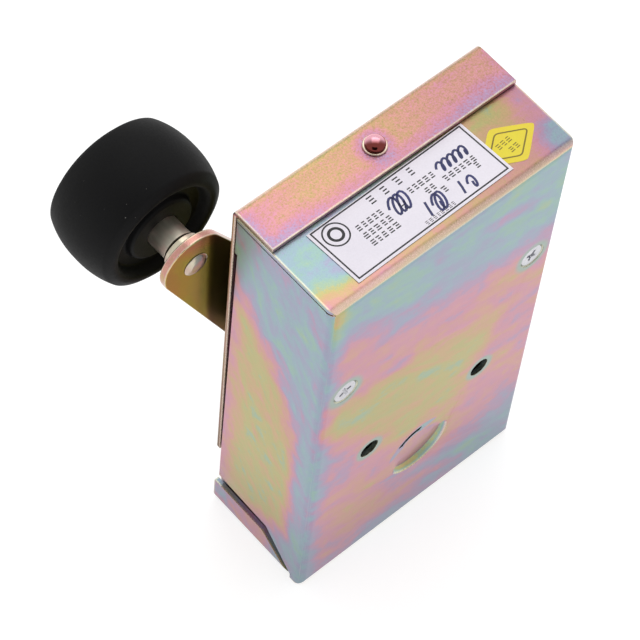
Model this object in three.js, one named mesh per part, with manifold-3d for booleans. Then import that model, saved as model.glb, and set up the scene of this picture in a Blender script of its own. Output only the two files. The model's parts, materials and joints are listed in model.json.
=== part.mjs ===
// Lever-roller limit switch in a folded sheet-steel case.
// Millimetres, +Z up. The origin is midway between the two fixing holes, on the outer face of
// the front wall, which is the mounting face. -Y points out of that face, and the lever and
// its rubber roller are behind the cover, on the +Y side.

import * as THREE from "three";
import { mergeVertices } from "three/addons/utils/BufferGeometryUtils.js";
import Module from "manifold-3d";

const wasm = await Module();
wasm.setup();

// ---------------------------------------------------------------- driving dimensions

const CASE_WIDTH = 64.8;
const CASE_HEIGHT = 117;
const CASE_DEPTH = 30; // front face to the outside of the cover
const TOP_ABOVE_HOLES = 71.1; // fixing holes to the top of the case
const SHEET = 1.2;
const BEND = 2; // outer bend radius of the case sheet
const COVER_SHEET = 1.1;
const COVER_BEND = 1.6;

const FIXING_HOLE_SPACING = 32;
const FIXING_HOLE_R = 2.5;
const CARRIER_SCREW_X = 26;
const CARRIER_SCREW_BELOW_TOP = 36;
const KNOCKOUT_BELOW_TOP = 87.8;
const KNOCKOUT_R = 8.7;

const ROLLER_X = -38.4; // roller axis, seen from the front
const ROLLER_BELOW_TOP = 16.4;
const LEVER_LENGTH = 45; // pivot to roller axis
const LEVER_LEAN = 29.3 * Math.PI / 180; // from upright, towards -X
const LEVER_WIDTH = 15; // at the roller; it widens towards the pivot
const LEVER_PIVOT_R = 9.9;
const LEVER_SHEET = 1.8;
const LEVER_GAP = 3.3; // cover to lever
const LEVER_TIP = 0.9; // roller axis to the centre of the rounded end

const ROLLER_R = 16.6;
const ROLLER_HALF_WIDTH = 9.5;
const ROLLER_MID_Y = 52.3;

const LEVER_TRAVEL = 35 * Math.PI / 180;
const PLUNGER_TRAVEL = 2.5;

// ---------------------------------------------------------------- derived places

const HALF_WIDTH = CASE_WIDTH / 2;
const TOP_Z = TOP_ABOVE_HOLES;
const BOTTOM_Z = TOP_Z - CASE_HEIGHT;
const COVER_Y = CASE_DEPTH - COVER_SHEET; // inner face of the cover
const LEVER_Y = CASE_DEPTH + LEVER_GAP; // front face of the lever
const LEVER_BACK_Y = LEVER_Y + LEVER_SHEET;
const ROLLER_Z = TOP_Z - ROLLER_BELOW_TOP;
const PIVOT_X = ROLLER_X + LEVER_LENGTH * Math.sin(LEVER_LEAN);
const PIVOT_Z = ROLLER_Z - LEVER_LENGTH * Math.cos(LEVER_LEAN);
const CARRIER_SCREW_Z = TOP_Z - CARRIER_SCREW_BELOW_TOP;
const KNOCKOUT_Z = TOP_Z - KNOCKOUT_BELOW_TOP;
const FIXING_X = FIXING_HOLE_SPACING / 2;

const LABEL = { x: -3.4, y: 10.2, halfLength: 20.8, halfWidth: 7.3, turn: 1.1 };
const STICKER = { x: 21, y: 8.2, halfLength: 8.1, halfWidth: 5.3, turn: 5 }; // partly under the label
const EARTH = { x: 21, z: BOTTOM_Z + 14 };

const GAP = 0.3; // between parts that meet
const SLIP = 0.15; // radial clearance round a shaft
const TAU = Math.PI * 2;
const SIDES = 16; // facets round a small turned part

// ---------------------------------------------------------------- materials

function material(color, roughness, metalness) {
  return new THREE.MeshStandardMaterial({ color, roughness, metalness });
}

const passivated = material(0xb9a88f, 0.42, 0.75);
const zinc = material(0xc9ccd0, 0.3, 0.9);
const steel = material(0x9a9a96, 0.35, 0.9);
const brass = material(0xb58c3c, 0.35, 0.9);
const silver = material(0xd8d6cf, 0.25, 0.95);
const rubber = material(0x1d1d1f, 0.75, 0);
const bakelite = material(0x2b1c16, 0.5, 0);
const nylon = material(0xd9d4c4, 0.5, 0);
const paper = material(0xe6e2ea, 0.6, 0);
const yellowFilm = material(0xe2d53a, 0.5, 0);

// ---------------------------------------------------------------- drawing helpers

// Points of an arc, angles in degrees, both ends included.
function arc(cx, cy, r, from, to, steps = 5) {
  return Array.from({ length: steps + 1 }, (_, i) => {
    const a = (from + (to - from) * i / steps) * Math.PI / 180;
    return [cx + r * Math.cos(a), cy + r * Math.sin(a)];
  });
}

function circle(cx, cy, r, steps = SIDES) {
  return arc(cx, cy, r, 0, 360 - 360 / steps, steps - 1);
}

function rectangle(x0, y0, x1, y1) {
  return [[x0, y0], [x1, y0], [x1, y1], [x0, y1]];
}

function roundedRectangle(x0, y0, x1, y1, r, steps = 3) {
  return [
    ...arc(x1 - r, y0 + r, r, -90, 0, steps), ...arc(x1 - r, y1 - r, r, 0, 90, steps),
    ...arc(x0 + r, y1 - r, r, 90, 180, steps), ...arc(x0 + r, y0 + r, r, 180, 270, steps),
  ];
}

function hexagon(cx, cy, acrossFlats) {
  return circle(cx, cy, acrossFlats / Math.sqrt(3), 6);
}

function extrusion(points, depth, holes = []) {
  const anticlockwise = (loop) => {
    const vectors = loop.map(([x, y]) => new THREE.Vector2(x, y));
    return THREE.ShapeUtils.area(vectors) < 0 ? vectors.reverse() : vectors;
  };
  const shape = new THREE.Shape(anticlockwise(points));
  for (const hole of holes) shape.holes.push(new THREE.Path(anticlockwise(hole)));
  return new THREE.ExtrudeGeometry(shape, { depth, bevelEnabled: false });
}

// The outline is drawn in x and z, and runs from y0 to y1.
function alongY(points, y0, y1, holes = []) {
  return solid(extrusion(points, y1 - y0, holes).rotateX(Math.PI / 2).translate(0, y1, 0));
}

// The outline is drawn in x and y, and runs from z0 to z1.
function alongZ(points, z0, z1, holes = []) {
  return solid(extrusion(points, z1 - z0, holes).translate(0, 0, z0));
}

// The outline is drawn in y and z, and runs from x0 to x1.
function alongX(points, x0, x1, holes = []) {
  const turn = new THREE.Matrix4().makeBasis(
    new THREE.Vector3(0, 1, 0), new THREE.Vector3(0, 0, 1), new THREE.Vector3(1, 0, 0));
  return solid(extrusion(points, x1 - x0, holes).applyMatrix4(turn).translate(x0, 0, 0));
}

// A turned part: the profile is a closed loop of [radius, place along the axis].
function turned(profile, axis, cx, cy, steps = SIDES) {
  const closed = profile.some(([r]) => r === 0) ? profile : [...profile, profile[0]];
  const points = closed.map(([r, t]) => new THREE.Vector2(r, t));
  const geometry = new THREE.LatheGeometry(points, steps);
  if (axis === "x") geometry.rotateZ(-Math.PI / 2).translate(0, cx, cy);
  if (axis === "y") geometry.translate(cx, 0, cy);
  if (axis === "z") geometry.rotateX(Math.PI / 2).translate(cx, cy, 0);
  return solid(geometry);
}

function cylinder(axis, cx, cy, r, t0, t1, steps = SIDES) {
  return turned([[0, t0], [r, t0], [r, t1], [0, t1]], axis, cx, cy, steps);
}

function ring(axis, cx, cy, inner, outer, t0, t1, steps = SIDES) {
  return turned([[inner, t0], [outer, t0], [outer, t1], [inner, t1]], axis, cx, cy, steps);
}

function block(x0, y0, z0, x1, y1, z1) {
  return alongZ(rectangle(x0, y0, x1, y1), z0, z1);
}

// A closed geometry becomes a solid whose faces point out.
function solid(geometry) {
  const bare = geometry.clone();
  for (const name of ["normal", "uv"]) bare.deleteAttribute(name);
  const merged = mergeVertices(bare, 1e-4);
  const position = merged.attributes.position.array;
  const index = merged.index.array;
  const triangles = [];
  let volume = 0;
  const corner = (i) => new THREE.Vector3().fromArray(position, 3 * i);
  for (let i = 0; i < index.length; i += 3) {
    const [a, b, c] = [index[i], index[i + 1], index[i + 2]];
    if (a === b || b === c || c === a) continue;
    triangles.push(a, b, c);
    volume += corner(a).dot(corner(b).cross(corner(c)));
  }
  if (volume < 0) {
    for (let i = 0; i < triangles.length; i += 3) {
      [triangles[i], triangles[i + 1]] = [triangles[i + 1], triangles[i]];
    }
  }
  return new wasm.Manifold(new wasm.Mesh({
    numProp: 3,
    vertProperties: new Float32Array(position),
    triVerts: new Uint32Array(triangles),
  }));
}

function join(...solids) {
  return solids.reduce((whole, next) => whole.add(next));
}

function cut(whole, ...tools) {
  return tools.reduce((rest, tool) => rest.subtract(tool), whole);
}

function mirrored(body) {
  return body.mirror([1, 0, 0]);
}

// A pressed strip between matching rings of points, one ring at each station.
function loft(rings) {
  const n = rings[0].length;
  const position = rings.flat(2);
  const index = [];
  for (let s = 0; s + 1 < rings.length; s += 1) {
    for (let i = 0; i < n; i += 1) {
      const j = (i + 1) % n;
      const [a, b, c, d] = [s * n + i, s * n + j, (s + 1) * n + j, (s + 1) * n + i];
      index.push(a, b, c, a, c, d);
    }
  }
  const last = (rings.length - 1) * n;
  for (let i = 1; i + 1 < n; i += 1) {
    index.push(0, i + 1, i, last, last + i, last + i + 1);
  }
  const geometry = new THREE.BufferGeometry();
  geometry.setAttribute("position", new THREE.Float32BufferAttribute(position, 3));
  geometry.setIndex(index);
  return solid(geometry);
}

// ---------------------------------------------------------------- the assembly group

const limitSwitch = new THREE.Group();
limitSwitch.name = "limit_switch";

function add(name, body, look) {
  const { vertProperties, triVerts, numProp } = body.getMesh();
  const position = new Float32Array(vertProperties.length / numProp * 3);
  for (let i = 0; i < position.length / 3; i += 1) {
    for (let k = 0; k < 3; k += 1) position[3 * i + k] = vertProperties[numProp * i + k];
  }
  const geometry = new THREE.BufferGeometry();
  geometry.setAttribute("position", new THREE.BufferAttribute(position, 3));
  geometry.setIndex(new THREE.BufferAttribute(new Uint32Array(triVerts), 1));
  geometry.computeVertexNormals();
  const mesh = new THREE.Mesh(geometry, look);
  mesh.name = name;
  limitSwitch.add(mesh);
}

// ---------------------------------------------------------------- case sheet

const SIDE_BACK_Y = COVER_Y - GAP; // back edge of the side walls
const SIDE_TOP_Z = TOP_Z - SHEET - GAP; // the top wall lies over the side walls
const EAR_DEPTH = SHEET + GAP; // how far the side walls step in behind the ears
const EAR_LINE = [[SIDE_BACK_Y, BOTTOM_Z + 8.4], [13.5, BOTTOM_Z + 8.2], [5.1, BOTTOM_Z + 1.5]];
const STEP_LINE = [[SIDE_BACK_Y, BOTTOM_Z + 12.4], [12.4, BOTTOM_Z + 11.6], [3.4, BOTTOM_Z + 1.6]];

// A channel section open towards +v: web from -HALF_WIDTH to HALF_WIDTH at v = 0.
function channel(height) {
  const inner = BEND - SHEET;
  const x = HALF_WIDTH - BEND;
  return [
    [-HALF_WIDTH, height], ...arc(-x, BEND, BEND, 180, 270), ...arc(x, BEND, BEND, 270, 360),
    [HALF_WIDTH, height], [HALF_WIDTH - SHEET, height],
    ...arc(x, BEND, inner, 0, -90), ...arc(-x, BEND, inner, -90, -180),
    [-HALF_WIDTH + SHEET, height],
  ];
}

// The top wall turns down over the front, and its bend is rounded off at the two corners.
function topWall() {
  const z = TOP_Z - BEND;
  const section = alongX([
    [0, z - 8], [SHEET, z - 8], ...arc(BEND, z, BEND - SHEET, 180, 90),
    [SIDE_BACK_Y, TOP_Z - SHEET], [SIDE_BACK_Y, TOP_Z], ...arc(BEND, z, BEND, 90, 180),
  ], -HALF_WIDTH, HALF_WIDTH);
  return section.intersect(roundedFront(z - 9, TOP_Z + 1));
}

// Everything inside the rounded front corners of the case.
function roundedFront(z0, z1) {
  const x = HALF_WIDTH - BEND;
  return alongZ([
    [-HALF_WIDTH, 50], ...arc(-x, BEND, BEND, 180, 270), ...arc(x, BEND, BEND, 270, 360), [HALF_WIDTH, 50],
  ], z0, z1);
}

// The bottom wall turns up into a lip at the back and into an ear over each side wall.
function bottomWall() {
  const z = BOTTOM_Z + BEND;
  const y = CASE_DEPTH - BEND;
  const lipTop = BOTTOM_Z + 6.9;
  const inner = BEND - SHEET;
  const web = alongX([
    [0, z + 8], ...arc(BEND, z, BEND, 180, 270), ...arc(y, z, BEND, 270, 360),
    [CASE_DEPTH, lipTop], [CASE_DEPTH - SHEET, lipTop],
    ...arc(y, z, inner, 0, -90), ...arc(BEND, z, inner, 270, 180), [SHEET, z + 8],
  ], -HALF_WIDTH + BEND, HALF_WIDTH - BEND);
  const tray = alongY(channel(10).map(([x, v]) => [x, BOTTOM_Z + v]), 3.1, CASE_DEPTH);
  const [back, middle, front] = EAR_LINE.map(([a, b]) => [a + 0.2, b - GAP]);
  const aboveEars = alongX([
    [CASE_DEPTH + 1, back[1] - 0.15], back, middle, front, [2.8, BOTTOM_Z - 0.1],
    [-1, BOTTOM_Z - 0.1], [-1, BOTTOM_Z + 20], [CASE_DEPTH + 1, BOTTOM_Z + 20],
  ], -HALF_WIDTH - 1, HALF_WIDTH + 1);
  return join(web, cut(tray, cut(aboveEars,
    block(-HALF_WIDTH + SHEET + 0.6, -2, BOTTOM_Z - 1, HALF_WIDTH - SHEET - 0.6, 40, BOTTOM_Z + SHEET))));
}

// Each side wall steps in behind its ear.
function steppedWall() {
  const x = HALF_WIDTH;
  const lap = 0.5;
  const strip = loft(EAR_LINE.map(([ey, ez], i) => {
    const [sy, sz] = STEP_LINE[i];
    return [
      [x, sy, sz + lap], [x, sy, sz], [x - EAR_DEPTH, ey, ez], [x - EAR_DEPTH, ey, ez - lap],
      [x - EAR_DEPTH - SHEET, ey, ez - lap], [x - EAR_DEPTH - SHEET, ey, ez + 0.2],
      [x - SHEET, sy, sz + 0.2], [x - SHEET, sy, sz + lap],
    ];
  }));
  const floor = BOTTOM_Z + SHEET + GAP;
  const inset = alongX([...EAR_LINE.slice(0, 2), [5.1, floor], [SIDE_BACK_Y, floor]],
    x - EAR_DEPTH - SHEET, x - EAR_DEPTH);
  const below = block(0, -1, BOTTOM_Z - 1, x + 1, 40, floor);
  return join(cut(strip, below), inset);
}

const KNOCKOUT_LEAN = -66.5; // the side pressed in deepest, in degrees from +X towards +Z

function smoothStep(value, low, high) {
  const t = Math.min(1, Math.max(0, (value - low) / (high - low)));
  return t * t * (3 - 2 * t);
}

// How far the pressed disc stands in from the front face. It leans in, with a steep slope round its
// deepest side, a short slit opposite, and stretched sheet between the two.
function knockoutDepth(r, degrees) {
  const share = Math.min(r / KNOCKOUT_R, 1);
  const away = Math.abs((degrees - KNOCKOUT_LEAN + 540) % 360 - 180);
  const lean = 0.75 * (1 + Math.cos(away * Math.PI / 180) * share);
  const held = smoothStep(away, 74, 84) * (1 - smoothStep(away, 150, 158));
  const slope = Math.min(1, (1 - share) / 0.14);
  const stretched = 1 - smoothStep(share, 0.5, 1);
  return lean * (away > 150 ? 1 : slope) * (1 - held) + lean * stretched * held;
}

// A round solid from the plane at y0 to the face of the pressed disc, shifted.
function knockoutSolid(radius, y0, shift) {
  const sides = 60;
  const rings = [0.25, 0.5, 0.68, 0.77, 0.86, 1];
  const place = (r, i, y) => {
    const a = 2 * Math.PI * i / sides;
    return [r * Math.cos(a), y, KNOCKOUT_Z + r * Math.sin(a)];
  };
  const position = [place(0, 0, knockoutDepth(0, 0) + shift), place(0, 0, y0)];
  for (const share of rings) {
    for (let i = 0; i < sides; i += 1) {
      position.push(place(radius * share, i, knockoutDepth(radius * share, 360 * i / sides) + shift));
    }
  }
  for (let i = 0; i < sides; i += 1) position.push(place(radius, i, y0));
  const index = [];
  const flat = 2 + rings.length * sides;
  for (let i = 0; i < sides; i += 1) {
    const j = (i + 1) % sides;
    index.push(0, 2 + j, 2 + i, 1, flat + i, flat + j);
    for (let ring = 2; ring < flat; ring += sides) {
      index.push(ring + i, ring + j, ring + sides + j, ring + i, ring + sides + j, ring + sides + i);
    }
  }
  const geometry = new THREE.BufferGeometry();
  geometry.setAttribute("position", new THREE.Float32BufferAttribute(position.flat(), 3));
  geometry.setIndex(index);
  return solid(geometry);
}

function housing() {
  const walls = alongZ(channel(SIDE_BACK_Y), BOTTOM_Z, SIDE_TOP_Z);
  const outsideBend = (z, from, to, beyond) => alongX([
    [0, z], ...arc(BEND, z, BEND, from, to), [BEND, beyond], [-1, beyond], [-1, z],
  ], -HALF_WIDTH - 1, HALF_WIDTH + 1);
  const aboveTopBend = outsideBend(TOP_Z - BEND, 175, 90, TOP_Z + 1);
  const belowBottomBend = outsideBend(BOTTOM_Z + BEND, 185, 270, BOTTOM_Z - 1);
  const earZone = alongX([
    ...STEP_LINE, [STEP_LINE[2][0], BOTTOM_Z - 1], [40, BOTTOM_Z - 1], [40, STEP_LINE[0][1]],
  ], HALF_WIDTH - BEND, HALF_WIDTH + 1);
  // Below its first few millimetres each side wall's back edge stands off the cover.
  const reliefTop = TOP_Z - 12.4;
  const backRelief = alongX([
    [SIDE_BACK_Y - 0.7, reliefTop], [40, reliefTop], [40, BOTTOM_Z + 20], [SIDE_BACK_Y, BOTTOM_Z + 20],
  ], -HALF_WIDTH - 1, HALF_WIDTH + 1);
  const shell = join(
    cut(walls, aboveTopBend, belowBottomBend, earZone, mirrored(earZone), backRelief),
    topWall(), bottomWall(), steppedWall(), mirrored(steppedWall()));
  // The seam under the top wall runs on round each front corner.
  const seamEnd = block(-HALF_WIDTH - 1, 0.35, SIDE_TOP_Z - 0.15, -HALF_WIDTH + 1.5, BEND + 0.2, TOP_Z - SHEET);

  const knockoutBack = knockoutSolid(KNOCKOUT_R + 1, SHEET - 0.2, SHEET);
  const knockoutFace = knockoutSolid(KNOCKOUT_R, -1, -0.03);
  const slitMiddle = KNOCKOUT_LEAN + 180;
  const towardsSlit = slitMiddle * Math.PI / 180;
  const slitEdge = (radius, from, to) => arc(
    3.3 * Math.cos(towardsSlit), KNOCKOUT_Z + 3.3 * Math.sin(towardsSlit), radius,
    slitMiddle + from, slitMiddle + to, 6);
  const knockoutSlit = alongY([...slitEdge(5.35, -43, 43), ...slitEdge(3.9, 40, -40)], -1, 5);
  const screwSeat = (x) => turned([
    [0, -0.1], [3.3, -0.1], [3.3, 0.15], [2.3, SHEET + 0.1], [0, SHEET + 0.1],
  ], "y", x, CARRIER_SCREW_Z);
  return cut(join(shell, knockoutBack), seamEnd, mirrored(seamEnd), knockoutFace, knockoutSlit,
    cylinder("y", -FIXING_X, 0, FIXING_HOLE_R, -1, 3),
    cylinder("y", FIXING_X, 0, FIXING_HOLE_R, -1, 3),
    screwSeat(-CARRIER_SCREW_X), screwSeat(CARRIER_SCREW_X),
    cylinder("z", LID_SCREW_X, LID_SCREW_Y, 2, TOP_Z - 3, TOP_Z + 1));
}

// ---------------------------------------------------------------- cover

const FLANGE_FRONT_Y = 18.1;
const LID_SCREW_X = -0.7;
const LID_SCREW_Y = 24;
const COVER_TOP_Z = TOP_Z + 0.25 + COVER_SHEET;
const SHAFT_HOLE_R = 6.6;
const WIDE_BOTTOM_Z = TOP_Z - 93; // below this the cover narrows to a tongue
const TONGUE_HALF = HALF_WIDTH - EAR_DEPTH - SHEET - GAP;

function coverSheet() {
  const top = COVER_TOP_Z;
  const y = CASE_DEPTH - COVER_BEND;
  const z = top - COVER_BEND;
  const flange = [
    ...arc(y, z, COVER_BEND - COVER_SHEET, 0, 90), [FLANGE_FRONT_Y, top - COVER_SHEET],
    [FLANGE_FRONT_Y, top], ...arc(y, z, COVER_BEND, 90, 0),
  ];
  const wide = alongX([[COVER_Y, WIDE_BOTTOM_Z], ...flange, [CASE_DEPTH, WIDE_BOTTOM_Z]],
    -HALF_WIDTH, HALF_WIDTH);
  const joggle = 1.6; // the tongue steps in behind the lip
  const stepZ = BOTTOM_Z + 9.4;
  const tongue = alongX([
    [COVER_Y - joggle, BOTTOM_Z + 1.8], [COVER_Y - joggle, stepZ - 1.8], [COVER_Y, stepZ + 0.4],
    ...flange,
    [CASE_DEPTH, stepZ], [CASE_DEPTH - joggle, stepZ - 2], [CASE_DEPTH - joggle, BOTTOM_Z + 1.8],
  ], -TONGUE_HALF, TONGUE_HALF);
  return cut(join(wide, tongue),
    cylinder("y", PIVOT_X, PIVOT_Z, SHAFT_HOLE_R, COVER_Y - 1, CASE_DEPTH + 1, 24),
    cylinder("z", LID_SCREW_X, LID_SCREW_Y, 1.9, TOP_Z, top + 1));
}

// ---------------------------------------------------------------- fasteners

// A pan-head screw driven along -Y, its head's underside at y.
function panScrew(x, z, y, shankR, length, headR, headHeight) {
  const body = turned([
    [0, y - length], [shankR * 0.7, y - length], [shankR, y - length + 0.4], [shankR, y],
    [headR, y], [headR, y + headHeight * 0.5], [headR * 0.72, y + headHeight], [0, y + headHeight],
  ], "y", x, z, 12);
  const past = headR + 1;
  return cut(body, block(x - past, y + headHeight * 0.45, z - 0.4, x + past, y + headHeight + 1, z + 0.4));
}

function hexNut(axis, cx, cy, acrossFlats, bore, t0, t1) {
  const draw = { y: alongY, z: alongZ }[axis];
  return draw(hexagon(cx, cy, acrossFlats), t0, t1, [circle(cx, cy, bore, 12)]);
}

// A countersunk screw driven along +Y, its face just below the front of the case.
function countersunkScrew(x, z) {
  const face = 0.25;
  const headR = 3;
  const shankR = 1.5;
  const body = turned([
    [0, face], [headR - 0.5, face - 0.1], [headR, face + 0.1], [shankR, face + headR - shankR],
    [shankR, 7], [0, 7],
  ], "y", x, z);
  const arm = (turn) => block(-1.7, -1, -0.3, 1.7, face + 1, 0.3).rotate([0, turn, 0]).translate([x, 0, z]);
  return cut(body, arm(20), arm(110));
}

function lidScrew() {
  const seat = COVER_TOP_Z + 0.65;
  const shankR = 1.5;
  const dome = arc(0, 0, 1, 20, 90, 4).map(([c, s]) => [2.35 * c, seat + 1.95 * (s - 0.25)]);
  dome[dome.length - 1][0] = 0;
  const end = TOP_Z - 5.6;
  const profile = [[0, end], [shankR, end], [shankR, seat], [dome[0][0], seat], ...dome];
  return turned(profile, "z", LID_SCREW_X, LID_SCREW_Y);
}

// ---------------------------------------------------------------- mechanism frame

const PLATE_Y = SHEET + GAP; // carrier plate, against the front wall
const PLATE_SHEET = 1.5;
const PLATE_BACK_Y = PLATE_Y + PLATE_SHEET;
const BEARING_Y = 22; // bearing plate
const PILLAR_R = 2.5;
const PILLARS = [[-10.2, -11.5], [10.2, -11.5], [-10.2, 11.5], [10.2, 11.5]]
  .map(([dx, dz]) => [PIVOT_X + dx, PIVOT_Z + dz]);
const STOP_PIN_R = 2;
const STOP_RADIUS = 9.5; // shaft axis to stop pin
const STOP_ANGLE = 225 * Math.PI / 180; // from +Z towards +X
const STOP_X = PIVOT_X + STOP_RADIUS * Math.sin(STOP_ANGLE);
const STOP_Z = PIVOT_Z + STOP_RADIUS * Math.cos(STOP_ANGLE);
const SCREWDRIVER_R = 6; // room round each fixing hole

const BLOCK_SCREWS = [[-0.5, PIVOT_Z + 11.4], [24.4, PIVOT_Z]];

function carrierPlate() {
  const outline = roundedRectangle(-29.6, 0.6, 29.6, 42, 2);
  const hole = (x, z, r) => cylinder("y", x, z, r, 0, 5);
  const seat = (x) => turned([
    [0, PLATE_Y - 0.1], [2.15, PLATE_Y - 0.1], [1.8, PLATE_Y + 0.35], [1.8, 5], [0, 5],
  ], "y", x, CARRIER_SCREW_Z, 12);
  return cut(alongY(outline, PLATE_Y, PLATE_BACK_Y),
    seat(-CARRIER_SCREW_X), seat(CARRIER_SCREW_X),
    hole(PIVOT_X, PIVOT_Z, 5 + SLIP), hole(STOP_X, STOP_Z, STOP_PIN_R + SLIP),
    ...BLOCK_SCREWS.map(([x, z]) => hole(x, z, 1.8)),
    hole(-FIXING_X, 0, SCREWDRIVER_R), hole(FIXING_X, 0, SCREWDRIVER_R));
}

function bearingPlate() {
  const outline = roundedRectangle(PIVOT_X - 12.9, PIVOT_Z - 14.2, PIVOT_X + 12.9, PIVOT_Z + 14.2, 2.7);
  const hole = (x, z, r) => cylinder("y", x, z, r, 20, 25, 12);
  return cut(alongY(outline, BEARING_Y, BEARING_Y + PLATE_SHEET),
    hole(PIVOT_X, PIVOT_Z, 6), hole(-FIXING_X, 0, SCREWDRIVER_R),
    ...PILLARS.map(([x, z]) => hole(x, z, 1.8)));
}

function pillar(x, z) {
  const y0 = PLATE_BACK_Y + 0.2;
  const y1 = BEARING_Y - 0.2;
  const [tapR, tapEnd] = [1.8, y1 - 6];
  return turned([
    [0, y0], [PILLAR_R, y0], [PILLAR_R, y1], [tapR, y1], [tapR, tapEnd], [0, tapEnd],
  ], "y", x, z, 12);
}

function frontBush() {
  const r = 3 + SLIP;
  return turned([
    [r, PLATE_Y], [5, PLATE_Y], [5, PLATE_BACK_Y + 0.2], [6.5, PLATE_BACK_Y + 0.2],
    [6.5, PLATE_BACK_Y + 1.5], [r, PLATE_BACK_Y + 1.5],
  ], "y", PIVOT_X, PIVOT_Z);
}

function rearBush() {
  const r = 4 + SLIP;
  const back = BEARING_Y + PLATE_SHEET + 0.2;
  return turned([
    [r, 21.4], [5.7, 21.4], [5.7, back], [7.2, back], [7.2, back + 1.3], [5.7, back + 1.3],
    [5.7, 27.8], [r, 27.8],
  ], "y", PIVOT_X, PIVOT_Z);
}

// ---------------------------------------------------------------- lever, shaft and cam

const SHAFT_R = 4;
const JOURNAL_R = 3;
const THREAD_R = 3;
const FLAT = 2.8; // half the width across the shaft's two flats
const CAM_Y = [9.5, 15.5];
const CAM_HUB_END_Y = 21;
const CAM_BORE_R = SHAFT_R + SLIP;
const CAM_BASE_R = 7.2;
const CAM_LOW_R = 9; // cam radius under the plunger at rest
const CAM_RISE = PLUNGER_TRAVEL / LEVER_TRAVEL; // millimetres for each radian
const CAM_LUG_R = 11.5;

// Across the lever: u runs along it from the pivot towards the roller, v across it.
function leverPoint([u, v]) {
  const c = Math.cos(LEVER_LEAN);
  const s = Math.sin(LEVER_LEAN);
  return [PIVOT_X - u * s + v * c, PIVOT_Z + u * c + v * s];
}

function aroundShaft(inner, outer, y0, y1) {
  return ring("y", PIVOT_X, PIVOT_Z, inner, outer, y0, y1, 20);
}

function doubleD(grow) {
  const r = SHAFT_R + grow;
  const flat = FLAT + grow;
  const a = Math.acos(flat / r) * 180 / Math.PI;
  return [...arc(0, 0, r, a, 180 - a, 6), ...arc(0, 0, r, 180 + a, 360 - a, 6)].map(leverPoint);
}

function leverArm() {
  const r = LEVER_WIDTH / 2;
  const reach = LEVER_LENGTH + LEVER_TIP;
  const flare = Math.asin((LEVER_PIVOT_R - r) / reach) * 180 / Math.PI;
  const outline = [
    ...arc(reach, 0, r, flare - 90, 90 - flare, 14),
    ...arc(0, 0, LEVER_PIVOT_R, 90 - flare, 270 + flare, 14),
  ].map(leverPoint);
  return alongY(outline, LEVER_Y, LEVER_BACK_Y, [doubleD(SLIP), circle(ROLLER_X, ROLLER_Z, 2.4 + SLIP)]);
}

function pivotShaft() {
  const end = LEVER_BACK_Y + 7.4;
  const whole = turned([
    [0, PLATE_Y + 0.2], [JOURNAL_R, PLATE_Y + 0.2], [JOURNAL_R, 5.4], [SHAFT_R, 5.4],
    [SHAFT_R, LEVER_BACK_Y - 0.1], [THREAD_R, LEVER_BACK_Y], [THREAD_R, end - 0.6],
    [THREAD_R - 0.6, end], [0, end],
  ], "y", PIVOT_X, PIVOT_Z);
  const outsideFlats = cut(cylinder("y", PIVOT_X, PIVOT_Z, 9, LEVER_Y - 0.1, LEVER_BACK_Y + 0.05),
    alongY(doubleD(0), LEVER_Y - 1, LEVER_BACK_Y + 1));
  return cut(whole, outsideFlats);
}

// Angles run from +Z towards +X, in degrees. The working face rises evenly with the angle, and
// two lugs with a notch between them stop the lever against the pin at each end of its travel.
function cam() {
  const inDegrees = 180 / Math.PI;
  const travel = LEVER_TRAVEL * inDegrees;
  const pin = STOP_ANGLE * inDegrees;
  const pinHalf = Math.asin((STOP_PIN_R + GAP) / STOP_RADIUS) * inDegrees;
  const [notchStart, notchEnd] = [pin - travel - pinHalf, pin + pinHalf];
  const lug = 22;
  const rising = (angle) => CAM_LOW_R + CAM_RISE * (90 - angle) / inDegrees;
  const sectors = [
    [90 - travel - 8, 98, rising],
    [110, notchStart - lug, () => CAM_BASE_R],
    [notchStart - lug, notchStart, () => CAM_LUG_R],
    [notchStart, notchEnd, () => CAM_BASE_R],
    [notchEnd, notchEnd + lug, () => CAM_LUG_R],
    [notchEnd + lug, 390, () => CAM_BASE_R],
  ];
  const outline = sectors.flatMap(([from, to, radius]) => {
    const steps = Math.ceil((to - from) / 7);
    return Array.from({ length: steps + 1 }, (_, i) => {
      const angle = from + (to - from) * i / steps;
      const r = radius(angle);
      return [PIVOT_X + r * Math.sin(angle / inDegrees), PIVOT_Z + r * Math.cos(angle / inDegrees)];
    });
  });
  const hub = cylinder("y", PIVOT_X, PIVOT_Z, CAM_BASE_R - 0.2, CAM_Y[1] - 1, CAM_HUB_END_Y);
  return cut(join(alongY(outline, ...CAM_Y), hub),
    cylinder("y", PIVOT_X, PIVOT_Z, CAM_BORE_R, 5, 25),
    cylinder("z", PIVOT_X, CAM_HUB_END_Y - 1.9, 1.5 + SLIP, PIVOT_Z + 2, PIVOT_Z + 10, 12));
}

function camSetScrew() {
  const y = CAM_HUB_END_Y - 1.9;
  const z0 = PIVOT_Z + SHAFT_R + 0.1;
  const z1 = PIVOT_Z + CAM_BASE_R - 0.3;
  const socket = cylinder("z", PIVOT_X, y, 0.8, z1 - 1.2, z1 + 1, 6);
  return cut(cylinder("z", PIVOT_X, y, 1.5, z0, z1, 12), socket);
}

// ---------------------------------------------------------------- roller and its stud

const STUD_COLLAR_Y = 38.4;
const AXLE_R = 3;
const BUSH_R = 3.7;
const BUSH_END_Y = ROLLER_MID_Y + ROLLER_HALF_WIDTH + 0.3;
const WASHER_Y = BUSH_END_Y + 0.2;
const CLIP_Y = WASHER_Y + 0.8;

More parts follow.
